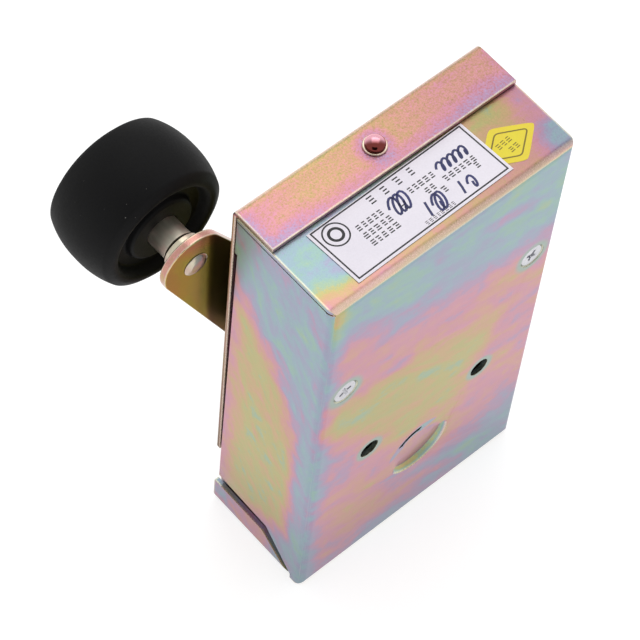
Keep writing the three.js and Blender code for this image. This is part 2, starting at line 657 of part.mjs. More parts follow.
function rollerStud() {
  const end = CLIP_Y + 1.6;
  return turned([
    [0, LEVER_Y - 0.9], [1.6, LEVER_Y - 0.8], [2.6, LEVER_Y - 0.45], [3, LEVER_Y - 0.05],
    [2.4, LEVER_Y - 0.05], [2.4, LEVER_BACK_Y + 0.1], [4.3, LEVER_BACK_Y + 0.1], [4.3, STUD_COLLAR_Y - 0.4],
    [4, STUD_COLLAR_Y], [AXLE_R, STUD_COLLAR_Y], [AXLE_R, CLIP_Y - 0.1], [2.3, CLIP_Y - 0.1],
    [2.3, CLIP_Y + 0.7], [AXLE_R, CLIP_Y + 0.7], [AXLE_R, end - 0.5], [AXLE_R - 0.5, end], [0, end],
  ], "y", ROLLER_X, ROLLER_Z);
}

// Half of the tyre's section, as [radius, distance from the middle]. The tread is a barrel.
function tyreProfile() {
  const w = ROLLER_HALF_WIDTH;
  const bore = BUSH_R + SLIP;
  const shoulder = 0.86;
  const tread = (t) => ROLLER_R - 2.1 * Math.abs(t) ** 2.3;
  const half = [
    [bore, w - 0.9], [7.4, w - 0.9], [7.9, w - 1.2], [8.3, w - 2.6], [10.9, w - 2.6], [11.6, w - 0.8],
    [12.2, w], [13.3, w], [tread(shoulder), w * shoulder], [tread(0.62), w * 0.62], [tread(0.32), w * 0.32],
  ];
  const far = half.map(([r, t]) => [r, ROLLER_MID_Y + t]);
  const near = half.map(([r, t]) => [r, ROLLER_MID_Y - t]).reverse();
  return [...far, [ROLLER_R, ROLLER_MID_Y], ...near];
}

function rollerClip() {
  const inner = 2.45;
  const outer = 4.7;
  const edge = (r, from, to) => arc(ROLLER_X, ROLLER_Z, r, from, to, 16);
  return alongY([...edge(outer, 120, 420), ...edge(inner, 420, 120)], CLIP_Y, CLIP_Y + 0.6);
}

// ---------------------------------------------------------------- contact block

const BLOCK_X = [-3, 27];
const BLOCK_Z = [PIVOT_Z - 9.9, PIVOT_Z + 13.9];
const BLOCK_Y = [PLATE_BACK_Y + GAP, 19.4];
const CHAMBER_FLOOR_Y = 6.3;
const PLUNGER_Y = (CAM_Y[0] + CAM_Y[1]) / 2;
const PLUNGER_R = 2.5;
const CONTACT_DZ = 6.6; // each contact above or below the plunger
const FIXED_STRIP_X = 4.9;
const STRIP = 1;
const TIP = 0.9;
const BRIDGE_X = FIXED_STRIP_X + STRIP + 2 * TIP + 0.35;
const TERMINAL_X = 17.5;
const TERMINAL_DZ = 9.4;
const SPRING_END_X = 21.7;

function contactBase() {
  const body = alongY(roundedRectangle(BLOCK_X[0], BLOCK_Z[0], BLOCK_X[1], BLOCK_Z[1], 1), ...BLOCK_Y);
  const bridgeRoom = block(2, CHAMBER_FLOOR_Y, PIVOT_Z - 9, 13, 30, PIVOT_Z + 9);
  const springRoom = block(12.5, CHAMBER_FLOOR_Y, PIVOT_Z - 4.2, 22, 30, PIVOT_Z + 4.2);
  const guide = cylinder("x", PLUNGER_Y, PIVOT_Z, PLUNGER_R + SLIP, -4, 3);
  const pilot = (x, z, r) => cylinder("y", x, z, r, 9, 30, 12);
  const fixing = ([x, z]) => cylinder("y", x, z, 1.8, 0, 30, 12);
  return cut(body, bridgeRoom, springRoom, guide,
    pilot(TERMINAL_X, PIVOT_Z - CONTACT_DZ, 1.9), pilot(TERMINAL_X, PIVOT_Z + TERMINAL_DZ, 1.9),
    ...BLOCK_SCREWS.map(fixing));
}

// A strip from one contact, round the corner and over its terminal.
function fixedContact(side, terminalZ) {
  const contactZ = PIVOT_Z + side * CONTACT_DZ;
  const top = BLOCK_Y[1] + 0.2;
  const z0 = Math.min(contactZ, terminalZ) - 2.1;
  const z1 = Math.max(contactZ, terminalZ) + 2.1;
  const stripBack = FIXED_STRIP_X + STRIP;
  const upright = block(FIXED_STRIP_X, 9, contactZ - 2.1, stripBack, top + STRIP, contactZ + 2.1);
  const outline = roundedRectangle(FIXED_STRIP_X, z0, TERMINAL_X + 3.6, z1, 0.4, 1);
  const terminal = alongY(outline, top, top + STRIP);
  return cut(join(upright, terminal), cylinder("y", TERMINAL_X, terminalZ, 1.9, 15, 25, 12));
}

function plunger() {
  const nose = PIVOT_X + CAM_LOW_R + GAP;
  return turned([
    [0, nose], [0.8, nose + 0.25], [1.4, nose + 0.9], [PLUNGER_R, nose + 1.6], [PLUNGER_R, 6.2], [3.6, 6.2],
    [3.6, BRIDGE_X - 0.15], [1.8, BRIDGE_X - 0.15], [1.8, 15], [1.4, 15.4], [0, 15.4],
  ], "x", PLUNGER_Y, PIVOT_Z);
}

function contactBridge() {
  const outline = roundedRectangle(PLUNGER_Y - 2.4, PIVOT_Z - 8.6, PLUNGER_Y + 2.4, PIVOT_Z + 8.6, 1.6, 3);
  return alongX(outline, BRIDGE_X, BRIDGE_X + STRIP, [circle(PLUNGER_Y, PIVOT_Z, 1.8 + SLIP)]);
}

function earthStud() {
  const [headBack, end] = [SHEET + 0.9, 12];
  return turned([
    [0, SHEET + 0.2], [3, SHEET + 0.2], [3, headBack], [2, headBack], [2, end - 0.4], [1.6, end], [0, end],
  ], "y", EARTH.x, EARTH.z, 12);
}

// ---------------------------------------------------------------- springs

function wire(points, radius, steps) {
  const curve = new THREE.CatmullRomCurve3(points.map((p) => new THREE.Vector3(...p)));
  const section = new THREE.Shape(circle(0, 0, radius, 6).map(([x, y]) => new THREE.Vector2(x, y)));
  return solid(new THREE.ExtrudeGeometry(section, { steps, extrudePath: curve, bevelEnabled: false }));
}

function plungerSpring() {
  const turns = 5;
  const perTurn = 9;
  const r = 2.8;
  const start = BRIDGE_X + STRIP + 0.6;
  const end = SPRING_END_X - 0.5;
  const points = Array.from({ length: turns * perTurn + 1 }, (_, i) => {
    const a = i / perTurn * TAU;
    const x = start + (end - start) * i / (turns * perTurn);
    return [x, PLUNGER_Y + r * Math.cos(a), PIVOT_Z + r * Math.sin(a)];
  });
  return wire(points, 0.4, turns * perTurn);
}

// The return spring is wound round the cam's hub. One leg bears on a pillar and the other,
// bent towards the cam, on the cam's lug.
function torsionSpring() {
  const turns = 3.6;
  const perTurn = 10;
  const r = 8.6;
  const yStart = 16.8;
  const yEnd = 20.9;
  const at = (reach, angle, y) => [PIVOT_X + reach * Math.sin(angle), y, PIVOT_Z + reach * Math.cos(angle)];
  const first = 150 * Math.PI / 180;
  const points = [at(r + 2.6, first - 0.55, yStart), at(r + 0.9, first - 0.3, yStart)];
  const count = Math.round(turns * perTurn);
  for (let i = 0; i <= count; i += 1) {
    points.push(at(r, first + i / perTurn * TAU, yStart + (yEnd - yStart) * i / count));
  }
  const last = first + count / perTurn * TAU;
  points.push(at(r + 1.2, last + 0.32, yEnd), at(r + 3.2, last + 0.6, yEnd));
  return wire(points, 0.55, count + 12);
}

// ---------------------------------------------------------------- label and sticker

// An outline round the middle of a label is turned by a few degrees, as it was stuck on.
function asStuck(outline, { x, y, turn }) {
  const c = Math.cos(turn * Math.PI / 180);
  const s = Math.sin(turn * Math.PI / 180);
  return outline.map(([u, v]) => [x + u * c - v * s, y + u * s + v * c]);
}

function label() {
  const { halfLength: l, halfWidth: w } = LABEL;
  return alongZ(asStuck(rectangle(-l, -w, l, w), LABEL), TOP_Z + 0.12, TOP_Z + 0.22);
}

function sticker() {
  const { halfLength: l, halfWidth: w } = STICKER;
  const tips = [[l, 0], [0, w], [-l, 0], [0, -w]];
  const towards = ([x0, y0], [x1, y1], part) => [x0 + (x1 - x0) * part, y0 + (y1 - y0) * part];
  const rounded = tips.flatMap((tip, i) => [
    towards(tip, tips[(i + 3) % 4], 0.14), towards(tip, [0, 0], 0.07), towards(tip, tips[(i + 1) % 4], 0.14),
  ]);
  return alongZ(asStuck(rounded, STICKER), TOP_Z + 0.03, TOP_Z + 0.09);
}

// ---------------------------------------------------------------- the parts

add("housing", housing(), passivated);
add("lid_cover", coverSheet(), passivated);
add("lid_screw", lidScrew(), zinc);
const washerZ = COVER_TOP_Z + 0.05;
add("lid_screw_washer", ring("z", LID_SCREW_X, LID_SCREW_Y, 1.7, 2.6, washerZ, washerZ + 0.5, 20), zinc);
add("lid_nut", hexNut("z", LID_SCREW_X, LID_SCREW_Y, 5.5, 1.65, TOP_Z - SHEET - 2.6, TOP_Z - SHEET - 0.2), zinc);
add("rating_label", label(), paper);
add("inspection_sticker", sticker(), yellowFilm);

add("carrier_plate", carrierPlate(), zinc);
for (const [name, side] of [["left", -1], ["right", 1]]) {
  const x = side * CARRIER_SCREW_X;
  const nutY = PLATE_BACK_Y + 0.2;
  add(`carrier_screw_${name}`, countersunkScrew(x, CARRIER_SCREW_Z), zinc);
  add(`carrier_nut_${name}`, hexNut("y", x, CARRIER_SCREW_Z, 5.5, 1.65, nutY, nutY + 2.4), zinc);
}
PILLARS.forEach(([x, z], i) => {
  add(`pillar_${i + 1}`, pillar(x, z), steel);
  add(`pillar_screw_${i + 1}`, panScrew(x, z, BEARING_Y + PLATE_SHEET + 0.2, 1.5, 7, 2.7, 1.9), zinc);
});
add("bearing_plate", bearingPlate(), zinc);
add("front_bush", frontBush(), brass);
add("rear_bush", rearBush(), brass);
add("stop_pin", cylinder("y", STOP_X, STOP_Z, STOP_PIN_R, PLATE_Y, CAM_Y[1] + 0.5), steel);
add("shaft_seal", aroundShaft(SHAFT_R + 0.25, 8.6, CASE_DEPTH + 0.1, CASE_DEPTH + 1.9), rubber);

add("contact_base", contactBase(), bakelite);
BLOCK_SCREWS.forEach(([x, z], i) => {
  add(`block_screw_${i + 1}`, panScrew(x, z, BLOCK_Y[1] + 0.1, 1.5, BLOCK_Y[1] - 1.9, 2.4, 1.8), zinc);
});
for (const [name, side, dz] of [["lower", -1, -CONTACT_DZ], ["upper", 1, TERMINAL_DZ]]) {
  const z = PIVOT_Z + dz;
  const tip = (x) => cylinder("x", PLUNGER_Y, PIVOT_Z + side * CONTACT_DZ, 1.7, x, x + TIP - 0.05, 12);
  const clamp = roundedRectangle(TERMINAL_X - 3.3, z - 2.9, TERMINAL_X + 3.3, z + 2.9, 0.6, 2);
  const clampY = BLOCK_Y[1] + STRIP + 0.3;
  add(`fixed_contact_${name}`, fixedContact(side, z), brass);
  add(`fixed_tip_${name}`, tip(FIXED_STRIP_X + STRIP + 0.05), silver);
  add(`moving_tip_${name}`, tip(BRIDGE_X - TIP - 0.05), silver);
  add(`terminal_clamp_${name}`, alongY(clamp, clampY, clampY + 1, [circle(TERMINAL_X, z, 1.9, 12)]), zinc);
  add(`terminal_screw_${name}`, panScrew(TERMINAL_X, z, clampY + 1.1, 1.6, 10, 2.8, 2), zinc);
}
add("plunger", plunger(), nylon);
add("contact_bridge", contactBridge(), brass);
add("plunger_spring", plungerSpring(), steel);
add("return_spring", torsionSpring(), steel);

add("earth_stud", earthStud(), brass);
add("earth_washer", ring("y", EARTH.x, EARTH.z, 2.2, 4.2, 2.3, 3.1, 12), brass);
add("earth_nut", hexNut("y", EARTH.x, EARTH.z, 7, 2.15, 3.3, 6.1), brass);

add("lever_arm", leverArm(), passivated);
add("pivot_shaft", pivotShaft(), steel);
add("spacer_washer", aroundShaft(SHAFT_R + SLIP, 7.2, CASE_DEPTH + 2.1, LEVER_Y - 0.15), zinc);
add("pivot_washer", aroundShaft(THREAD_R + SLIP, 6.2, LEVER_BACK_Y + 0.15, LEVER_BACK_Y + 1.5), zinc);
const nutY = LEVER_BACK_Y + 1.6;
add("pivot_nut", hexNut("y", PIVOT_X, PIVOT_Z, 10, THREAD_R + SLIP, nutY, nutY + 4.8), zinc);
add("cam", cam(), steel);
add("cam_set_screw", camSetScrew(), steel);
add("roller_stud", rollerStud(), zinc);
add("roller_washer", ring("y", ROLLER_X, ROLLER_Z, AXLE_R + SLIP, 6, WASHER_Y, WASHER_Y + 0.6, 20), zinc);
add("roller_clip", rollerClip(), steel);

const bushY = STUD_COLLAR_Y + 0.2;
add("roller_bush", ring("y", ROLLER_X, ROLLER_Z, AXLE_R + SLIP, BUSH_R, bushY, BUSH_END_Y), zinc);
add("roller_tyre", turned(tyreProfile(), "y", ROLLER_X, ROLLER_Z, 32), rubber);

export default limitSwitch;
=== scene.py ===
# Lever limit switch: the finished shapes, materials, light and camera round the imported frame.
# Lengths are in millimetres until a mesh is made, and then in metres.

import json
import math
import random

import bmesh
import bpy
from mathutils import Matrix, Vector


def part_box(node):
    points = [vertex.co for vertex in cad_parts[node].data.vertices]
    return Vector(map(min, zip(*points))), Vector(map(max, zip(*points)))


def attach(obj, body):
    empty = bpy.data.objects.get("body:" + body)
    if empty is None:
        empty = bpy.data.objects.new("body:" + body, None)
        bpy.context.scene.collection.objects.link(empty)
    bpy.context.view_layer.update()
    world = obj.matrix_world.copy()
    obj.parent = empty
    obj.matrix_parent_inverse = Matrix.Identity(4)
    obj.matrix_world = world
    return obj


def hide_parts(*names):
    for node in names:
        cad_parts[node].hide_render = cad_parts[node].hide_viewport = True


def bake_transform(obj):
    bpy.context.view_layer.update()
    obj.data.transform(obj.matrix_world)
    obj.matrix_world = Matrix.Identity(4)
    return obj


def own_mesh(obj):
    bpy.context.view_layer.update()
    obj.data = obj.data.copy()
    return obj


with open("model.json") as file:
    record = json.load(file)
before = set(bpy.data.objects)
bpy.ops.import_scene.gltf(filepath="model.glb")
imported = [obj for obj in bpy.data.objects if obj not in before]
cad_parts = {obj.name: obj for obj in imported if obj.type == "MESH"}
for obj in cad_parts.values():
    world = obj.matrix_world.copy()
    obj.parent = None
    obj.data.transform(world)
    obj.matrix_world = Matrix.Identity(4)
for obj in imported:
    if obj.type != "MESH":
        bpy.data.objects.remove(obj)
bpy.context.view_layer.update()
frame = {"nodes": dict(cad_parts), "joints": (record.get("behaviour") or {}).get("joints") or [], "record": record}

MM = 0.001
TAU = 2 * math.pi


# ---------------- places, from the frame

def corners(node):
    low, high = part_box(node)
    return low / MM, high / MM


def middle(node):
    low, high = corners(node)
    return (low + high) / 2


joints = {joint["name"]: joint for joint in frame["joints"]}
bodies = frame["record"]["behaviour"]["bodies"]
body_of = {node: body for body, nodes in bodies.items() for node in nodes}
slot_of = {part["node"]: part["material_slot"] for part in frame["record"]["subparts"]}

CASE_LOW, CASE_HIGH = corners("housing")
COVER_LOW, COVER_HIGH = corners("lid_cover")
TOP = CASE_HIGH.z
PIVOT = Vector(joints["lever_swing"]["pos_m"]) / MM
ROLLER = Vector(joints["roller_spin"]["pos_m"]) / MM
PIVOT_AXIS = (PIVOT.x, PIVOT.z)
ROLLER_AXIS = (ROLLER.x, ROLLER.z)
LEAN = math.atan2(PIVOT.x - ROLLER.x, ROLLER.z - PIVOT.z)
FRONT_SCREWS = ["carrier_screw_left", "carrier_screw_right"]
FIXING_HOLES = [(-16, 0), (16, 0)]
KNOCKOUT = (0, -16.7, 8.7)  # x, z and radius of the pressed disc
KNOCKOUT_LEAN = math.radians(-66.5)  # the way from its middle to the side pressed in deepest
SLIT_SHIFT = 3.3  # from its middle to the slit's, the other way


# ---------------- mesh helpers

def placed(name, data):
    made = bpy.data.objects.new(name, data)
    bpy.context.scene.collection.objects.link(made)
    return made


def evaluated(made):
    return made.evaluated_get(bpy.context.evaluated_depsgraph_get())


def mesh_object(name, points, faces):
    mesh = bpy.data.meshes.new(name)
    mesh.from_pydata([Vector(p) * MM for p in points], [], faces)
    mesh.validate()
    return placed(name, mesh)


def ring_faces(count, sides, closed=False):
    """Faces that join rings of points, each to the next. An open run is capped at both ends."""
    faces = []
    for row in range(count if closed else count - 1):
        a, b = row * sides, (row + 1) % count * sides
        for i in range(sides):
            j = (i + 1) % sides
            faces.append((a + i, a + j, b + j, b + i))
    if not closed:
        faces.append(tuple(range(sides)))
        faces.append(tuple(range((count - 1) * sides, count * sides))[::-1])
    return faces


def smooth(made, angle=38):
    """Smooth faces with sharp edges past the angle, and normals weighted by area."""
    mesh = made.data
    bm = bmesh.new()
    bm.from_mesh(mesh)
    bmesh.ops.recalc_face_normals(bm, faces=bm.faces)
    for face in bm.faces:
        face.smooth = True
    bm.to_mesh(mesh)
    bm.free()
    mesh.set_sharp_from_angle(angle=math.radians(angle))
    weighted = made.modifiers.new("normals", "WEIGHTED_NORMAL")
    weighted.keep_sharp = True
    return made


def finished(made, node, look, replace=True):
    """The piece takes its look, and rides and finishes as its CAD node does."""
    made.data.materials.clear()
    made.data.materials.append(look)
    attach(made, body_of[node])
    if replace:
        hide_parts(node)
    return made


def eased(points, radius, closed=False, steps=4):
    """The same outline with each corner rounded."""
    count = len(points)
    out = []
    for i, corner in enumerate(points):
        if not closed and i in (0, count - 1):
            out.append(corner)
            continue
        here = Vector(corner)
        before = Vector(points[i - 1]) - here
        after = Vector(points[(i + 1) % count]) - here
        cut = min(radius, 0.45 * before.length, 0.45 * after.length)
        start = here + before.normalized() * cut
        end = here + after.normalized() * cut
        for step in range(steps + 1):
            t = step / steps
            out.append(tuple(start * (1 - t) ** 2 + here * 2 * t * (1 - t) + end * t ** 2))
    return out


def along(axis, centre, radius, angle, place):
    """A point round an axis: centre holds the two other coordinates."""
    s, c = radius * math.sin(angle), radius * math.cos(angle)
    if axis == "x":
        return (place, centre[0] + s, centre[1] + c)
    if axis == "y":
        return (centre[0] + s, place, centre[1] + c)
    return (centre[0] + s, centre[1] + c, place)


def revolved(name, rows, axis, centre, sides=96, closed=False):
    """Rows are (radius, place). A radius may be a function of the angle. Closed rows make a ring."""
    points = []
    for radius, place in rows:
        for i in range(sides):
            angle = TAU * i / sides
            r = radius(angle) if callable(radius) else radius
            points.append(along(axis, centre, r, angle, place))
    return mesh_object(name, points, ring_faces(len(rows), sides, closed))


def turned(node, profile, axis, centre, look, ease, closed=False):
    """A turned piece that stands for a CAD node. An open profile is capped at both ends."""
    made = revolved(node + "_turned", eased(profile, ease, closed), axis, centre, closed=closed)
    return finished(smooth(made), node, look)


def ring(node, axis, centre, inner, look, ease):
    """A washer, seal or bush: its outer size and its ends are the CAD node's."""
    low, high = corners(node)
    k = "xyz".index(axis)
    outer = (high[(k + 1) % 3] - low[(k + 1) % 3]) / 2
    profile = [(inner, low[k]), (outer, low[k]), (outer, high[k]), (inner, high[k])]
    return turned(node, profile, axis, centre, look, ease, closed=True)


def threaded(radius, start, end, pitch, depth, step=0.125):
    """Rows of a screw thread for revolved(), from start to end along the axis."""
    rows = []
    count = round((end - start) / (pitch * step))
    for i in range(count + 1):
        place = start + (end - start) * i / count

        def rise(angle, place=place):
            turn = (place / pitch - angle / TAU) % 1
            groove = max(0, 1 - abs(turn - 0.5) * 2.6)
            fade = min(1, (place - start) / pitch, (end - place) / pitch)
            return radius - depth * groove * fade
        rows.append((rise, place))
    return rows


def refined(node, look, edge, sharp=34, shading=38, left_as_is=None):
    """The CAD node's own faces, with its sharp edges rounded, but for those that left_as_is picks."""
    bm = bmesh.new()
    bm.from_mesh(frame["nodes"][node].data)
    bmesh.ops.remove_doubles(bm, verts=bm.verts, dist=0.0005 * MM)
    bmesh.ops.dissolve_limit(bm, angle_limit=math.radians(0.4), verts=bm.verts, edges=bm.edges)
    room = {v: min(e.calc_length() for e in v.link_edges) for v in bm.verts}
    corners_to_round = [
        e for e in bm.edges if e.is_manifold and e.calc_face_angle(0) > math.radians(sharp)
        and min(room[v] for v in e.verts) > 2.2 * edge * MM
        and not (left_as_is and left_as_is(e.verts[0].co / MM))]
    bmesh.ops.bevel(bm, geom=corners_to_round, offset=edge * MM, segments=2, profile=0.5,
                    affect="EDGES", clamp_overlap=True)
    bmesh.ops.triangulate(bm, faces=[f for f in bm.faces if len(f.verts) > 4])
    mesh = bpy.data.meshes.new(node + "_formed")
    bm.to_mesh(mesh)
    bm.free()
    return finished(smooth(placed(node + "_formed", mesh), shading), node, look)


def plate(name, outline, holes, y0, y1, edge):
    """A flat piece drawn in x and z, with rounded rims, from y0 to y1."""
    curve = bpy.data.curves.new(name, "CURVE")
    curve.dimensions = "2D"
    curve.fill_mode = "BOTH"
    for loop in [outline, *holes]:
        spline = curve.splines.new("POLY")
        spline.points.add(len(loop) - 1)
        for point, (x, z) in zip(spline.points, loop):
            point.co = (x * MM, z * MM, 0, 1)
        spline.use_cyclic_u = True
    curve.extrude = ((y1 - y0) / 2 - edge) * MM
    curve.bevel_depth = edge * MM
    curve.bevel_resolution = 2
    curve.offset = -edge * MM
    drawn = placed(name, curve)
    mesh = bpy.data.meshes.new_from_object(evaluated(drawn))
    bpy.data.objects.remove(drawn)
    mesh.transform(Matrix.Translation((0, (y0 + y1) / 2 * MM, 0)) @ Matrix.Rotation(math.pi / 2, 4, "X"))
    mesh.name = name
    bm = bmesh.new()
    bm.from_mesh(mesh)
    bmesh.ops.remove_doubles(bm, verts=bm.verts, dist=0.002 * MM)
    bm.to_mesh(mesh)
    bm.free()
    return placed(name, mesh)


def tube(name, points, radius, sides=14):
    """A round wire along the points, with domed ends."""
    path = [Vector(p) for p in points]
    lead = (path[1] - path[0]).normalized()
    side = lead.orthogonal().normalized()
    rings = []
    for i, here in enumerate(path):
        ahead = (path[min(i + 1, len(path) - 1)] - path[max(i - 1, 0)]).normalized()
        side = (side - ahead * side.dot(ahead)).normalized()
        rings.append((here, ahead, side))
    insets = (0.35, 0.7, 1.0)

    def dome(end, inset, way):
        here, ahead, side = end
        return (here + ahead * radius * inset * way, ahead, side, math.sqrt(1 - inset ** 2))
    stations = [dome(rings[0], inset, -0.8) for inset in reversed(insets)]
    stations += [(*r, 1.0) for r in rings]
    stations += [dome(rings[-1], inset, 0.8) for inset in insets]
    verts = []
    for here, ahead, side, share in stations:
        other = ahead.cross(side)
        r = radius * max(share, 0.05)
        for k in range(sides):
            angle = TAU * k / sides
            verts.append(here + side * r * math.cos(angle) + other * r * math.sin(angle))
    return smooth(mesh_object(name, verts, ring_faces(len(stations), sides)), 60)


def cut_away(made, cutter):
    """Takes the cutter's solid out of the piece."""
    modifier = made.modifiers.new("cut", "BOOLEAN")
    modifier.operation = "DIFFERENCE"
    modifier.solver = "EXACT"
    modifier.object = cutter
    bpy.context.view_layer.update()
    mesh = bpy.data.meshes.new_from_object(evaluated(made))
    made.modifiers.remove(modifier)
    made.data = mesh
    bpy.data.objects.remove(cutter)
    return made


# ---------------- material helpers

def linear(r, g, b):
    """A colour given as 0 to 255 on the screen, as the shader's linear colour."""
    def channel(v):
        v /= 255
        return v / 12.92 if v <= 0.04045 else ((v + 0.055) / 1.055) ** 2.4
    return (channel(r), channel(g), channel(b), 1)


class Value:
    """What one output of a material's nodes gives. Arithmetic with it adds more nodes."""

    def __init__(self, look, socket):
        self.look = look
        self.socket = socket

    def __add__(self, other):
        return self.look.math("ADD", self, other)

    def __sub__(self, other):
        return self.look.math("SUBTRACT", self, other)

    def __rsub__(self, other):
        return self.look.math("SUBTRACT", other, self)

    def __mul__(self, other):
        return self.look.math("MULTIPLY", self, other)

    def __pow__(self, other):
        return self.look.math("POWER", self, other)

    def __abs__(self):
        return self.look.math("ABSOLUTE", self)

    __radd__ = __add__
    __rmul__ = __mul__


class Look:
    """One material. Each method adds a node, and takes numbers or values."""

    def __init__(self, name, **settings):
        self.material = bpy.data.materials.new(name)
        self.material.use_nodes = True
        self.tree = self.material.node_tree
        self.shader = self.tree.nodes["Principled BSDF"]
        for socket, value in settings.items():
            self.shader.inputs[socket.replace("_", " ")].default_value = value
        self.normal = self.node("ShaderNodeTexCoord", "Normal", {})
        self.place = self.vector("SCALE", self.node("ShaderNodeTexCoord", "Object", {}), 1 / MM)

    def join(self, value, socket):
        if isinstance(value, Value):
            self.tree.links.new(value.socket, socket)
        else:
            socket.default_value = value

    def node(self, kind, output, inputs, **settings):
        made = self.tree.nodes.new(kind)
        for key, setting in settings.items():
            setattr(made, key, setting)
        for key, value in inputs.items():
            self.join(value, made.inputs[key])
        return Value(self, made.outputs[output])

    def math(self, operation, *values):
        return self.node("ShaderNodeMath", 0, dict(enumerate(values)), operation=operation)

    def lowest(self, first, *others):
        for other in others:
            first = self.math("MINIMUM", first, other)
        return first

    def highest(self, first, *others):
        for other in others:
            first = self.math("MAXIMUM", first, other)
        return first

    def vector(self, operation, a, b):
        second = "Scale" if operation == "SCALE" else 1
        return self.node("ShaderNodeVectorMath", "Vector", {0: a, second: b}, operation=operation)

    def split(self, value):
        return [self.node("ShaderNodeSeparateXYZ", k, {0: value}) for k in range(3)]

    def ramp_up(self, value, low, high, out_low=0.0, out_high=1.0):
        """Rises smoothly from out_low at low to out_high at high."""
        inputs = dict(enumerate((value, low, high, out_low, out_high)))
        return self.node("ShaderNodeMapRange", 0, inputs, interpolation_type="SMOOTHSTEP")

    def mapped(self, turn=(0, 0, 0), scale=(1, 1, 1), shift=(0, 0, 0)):
        """The place in millimetres, turned (degrees) and then scaled."""
        turn = [math.radians(v) for v in turn]
        turned_place = self.node("ShaderNodeMapping", "Vector", {
            "Vector": self.place, "Location": shift, "Rotation": turn})
        return self.node("ShaderNodeMapping", "Vector", {"Vector": turned_place, "Scale": scale})

    def noise(self, place, size, detail=2.0, rough=0.5, bend=0.0):
        """Noise from about -1 to 1, with features of about the size, in millimetres."""
        made = self.node("ShaderNodeTexNoise", "Fac", {
            "Vector": place, "Scale": 0.5 / size, "Detail": detail, "Roughness": rough, "Distortion": bend})
        return self.math("MULTIPLY_ADD", made, 3.6, -1.8)

    def colours(self, value, stops):
        colour = self.node("ShaderNodeValToRGB", 0, {0: value})
        ramp = colour.socket.node.color_ramp
        ramp.interpolation = "EASE"
        while len(ramp.elements) < len(stops):
            ramp.elements.new(0.5)
        for element, (position, stop) in zip(ramp.elements, stops):
            element.position = position
            element.color = linear(*stop)
        return colour

    def mix(self, share, a, b):
        return self.node("ShaderNodeMix", 2, {0: share, 6: a, 7: b}, data_type="RGBA", clamp_factor=True)

    def mix_value(self, share, a, b):
        return self.node("ShaderNodeMix", 0, {0: share, 2: a, 3: b}, clamp_factor=True)

    def scaled_colour(self, colour, amount):
        return self.vector("SCALE", colour, amount)

    def bump(self, height, depth, under=None):
        """Height, from -1 to 1, raises the surface by up to depth millimetres."""
        inputs = {"Distance": depth * MM, "Height": height}
        if under is not None:
            inputs["Normal"] = under
        return self.node("ShaderNodeBump", 0, inputs)

    def done(self, colour, roughness, normal):
        for value, socket in ((colour, "Base Color"), (roughness, "Roughness"), (normal, "Normal")):
            self.join(value, self.shader.inputs[socket])
        return self.material


# ---------------- materials

# The colours that a passivated zinc film goes through as it gets thicker, and round again.
FILM = [
    (0.00, (150, 186, 178)), (0.10, (162, 188, 158)), (0.22, (192, 184, 118)), (0.34, (206, 172, 124)),
    (0.46, (214, 158, 144)), (0.58, (212, 148, 166)), (0.70, (186, 152, 184)), (0.82, (160, 166, 192)),
    (0.92, (150, 178, 190)), (1.00, (150, 186, 178)),
]
EVEN = ((0, 0),) * 3


def edge_distance(look, low, high, starts=EVEN):
    """How far a point on a box-shaped sheet piece is from the nearest edge of its face. starts holds
    the distance to begin from at the low and the high side of x, y and z."""
    sides = []
    for place, normal, near, far, start in zip(
            look.split(look.place), look.split(look.normal), low, high, starts):
        to_edge = look.lowest(place - near + start[0], far - place + start[1])
        sides.append(to_edge + look.ramp_up(abs(normal), 0.8, 0.95, 0, 200))
    return look.lowest(*sides)


def radial(look, u, v, centre):
    """The distance from a centre in the plane of u and v."""
    return look.math("SQRT", (u - centre[0]) ** 2 + (v - centre[1]) ** 2)


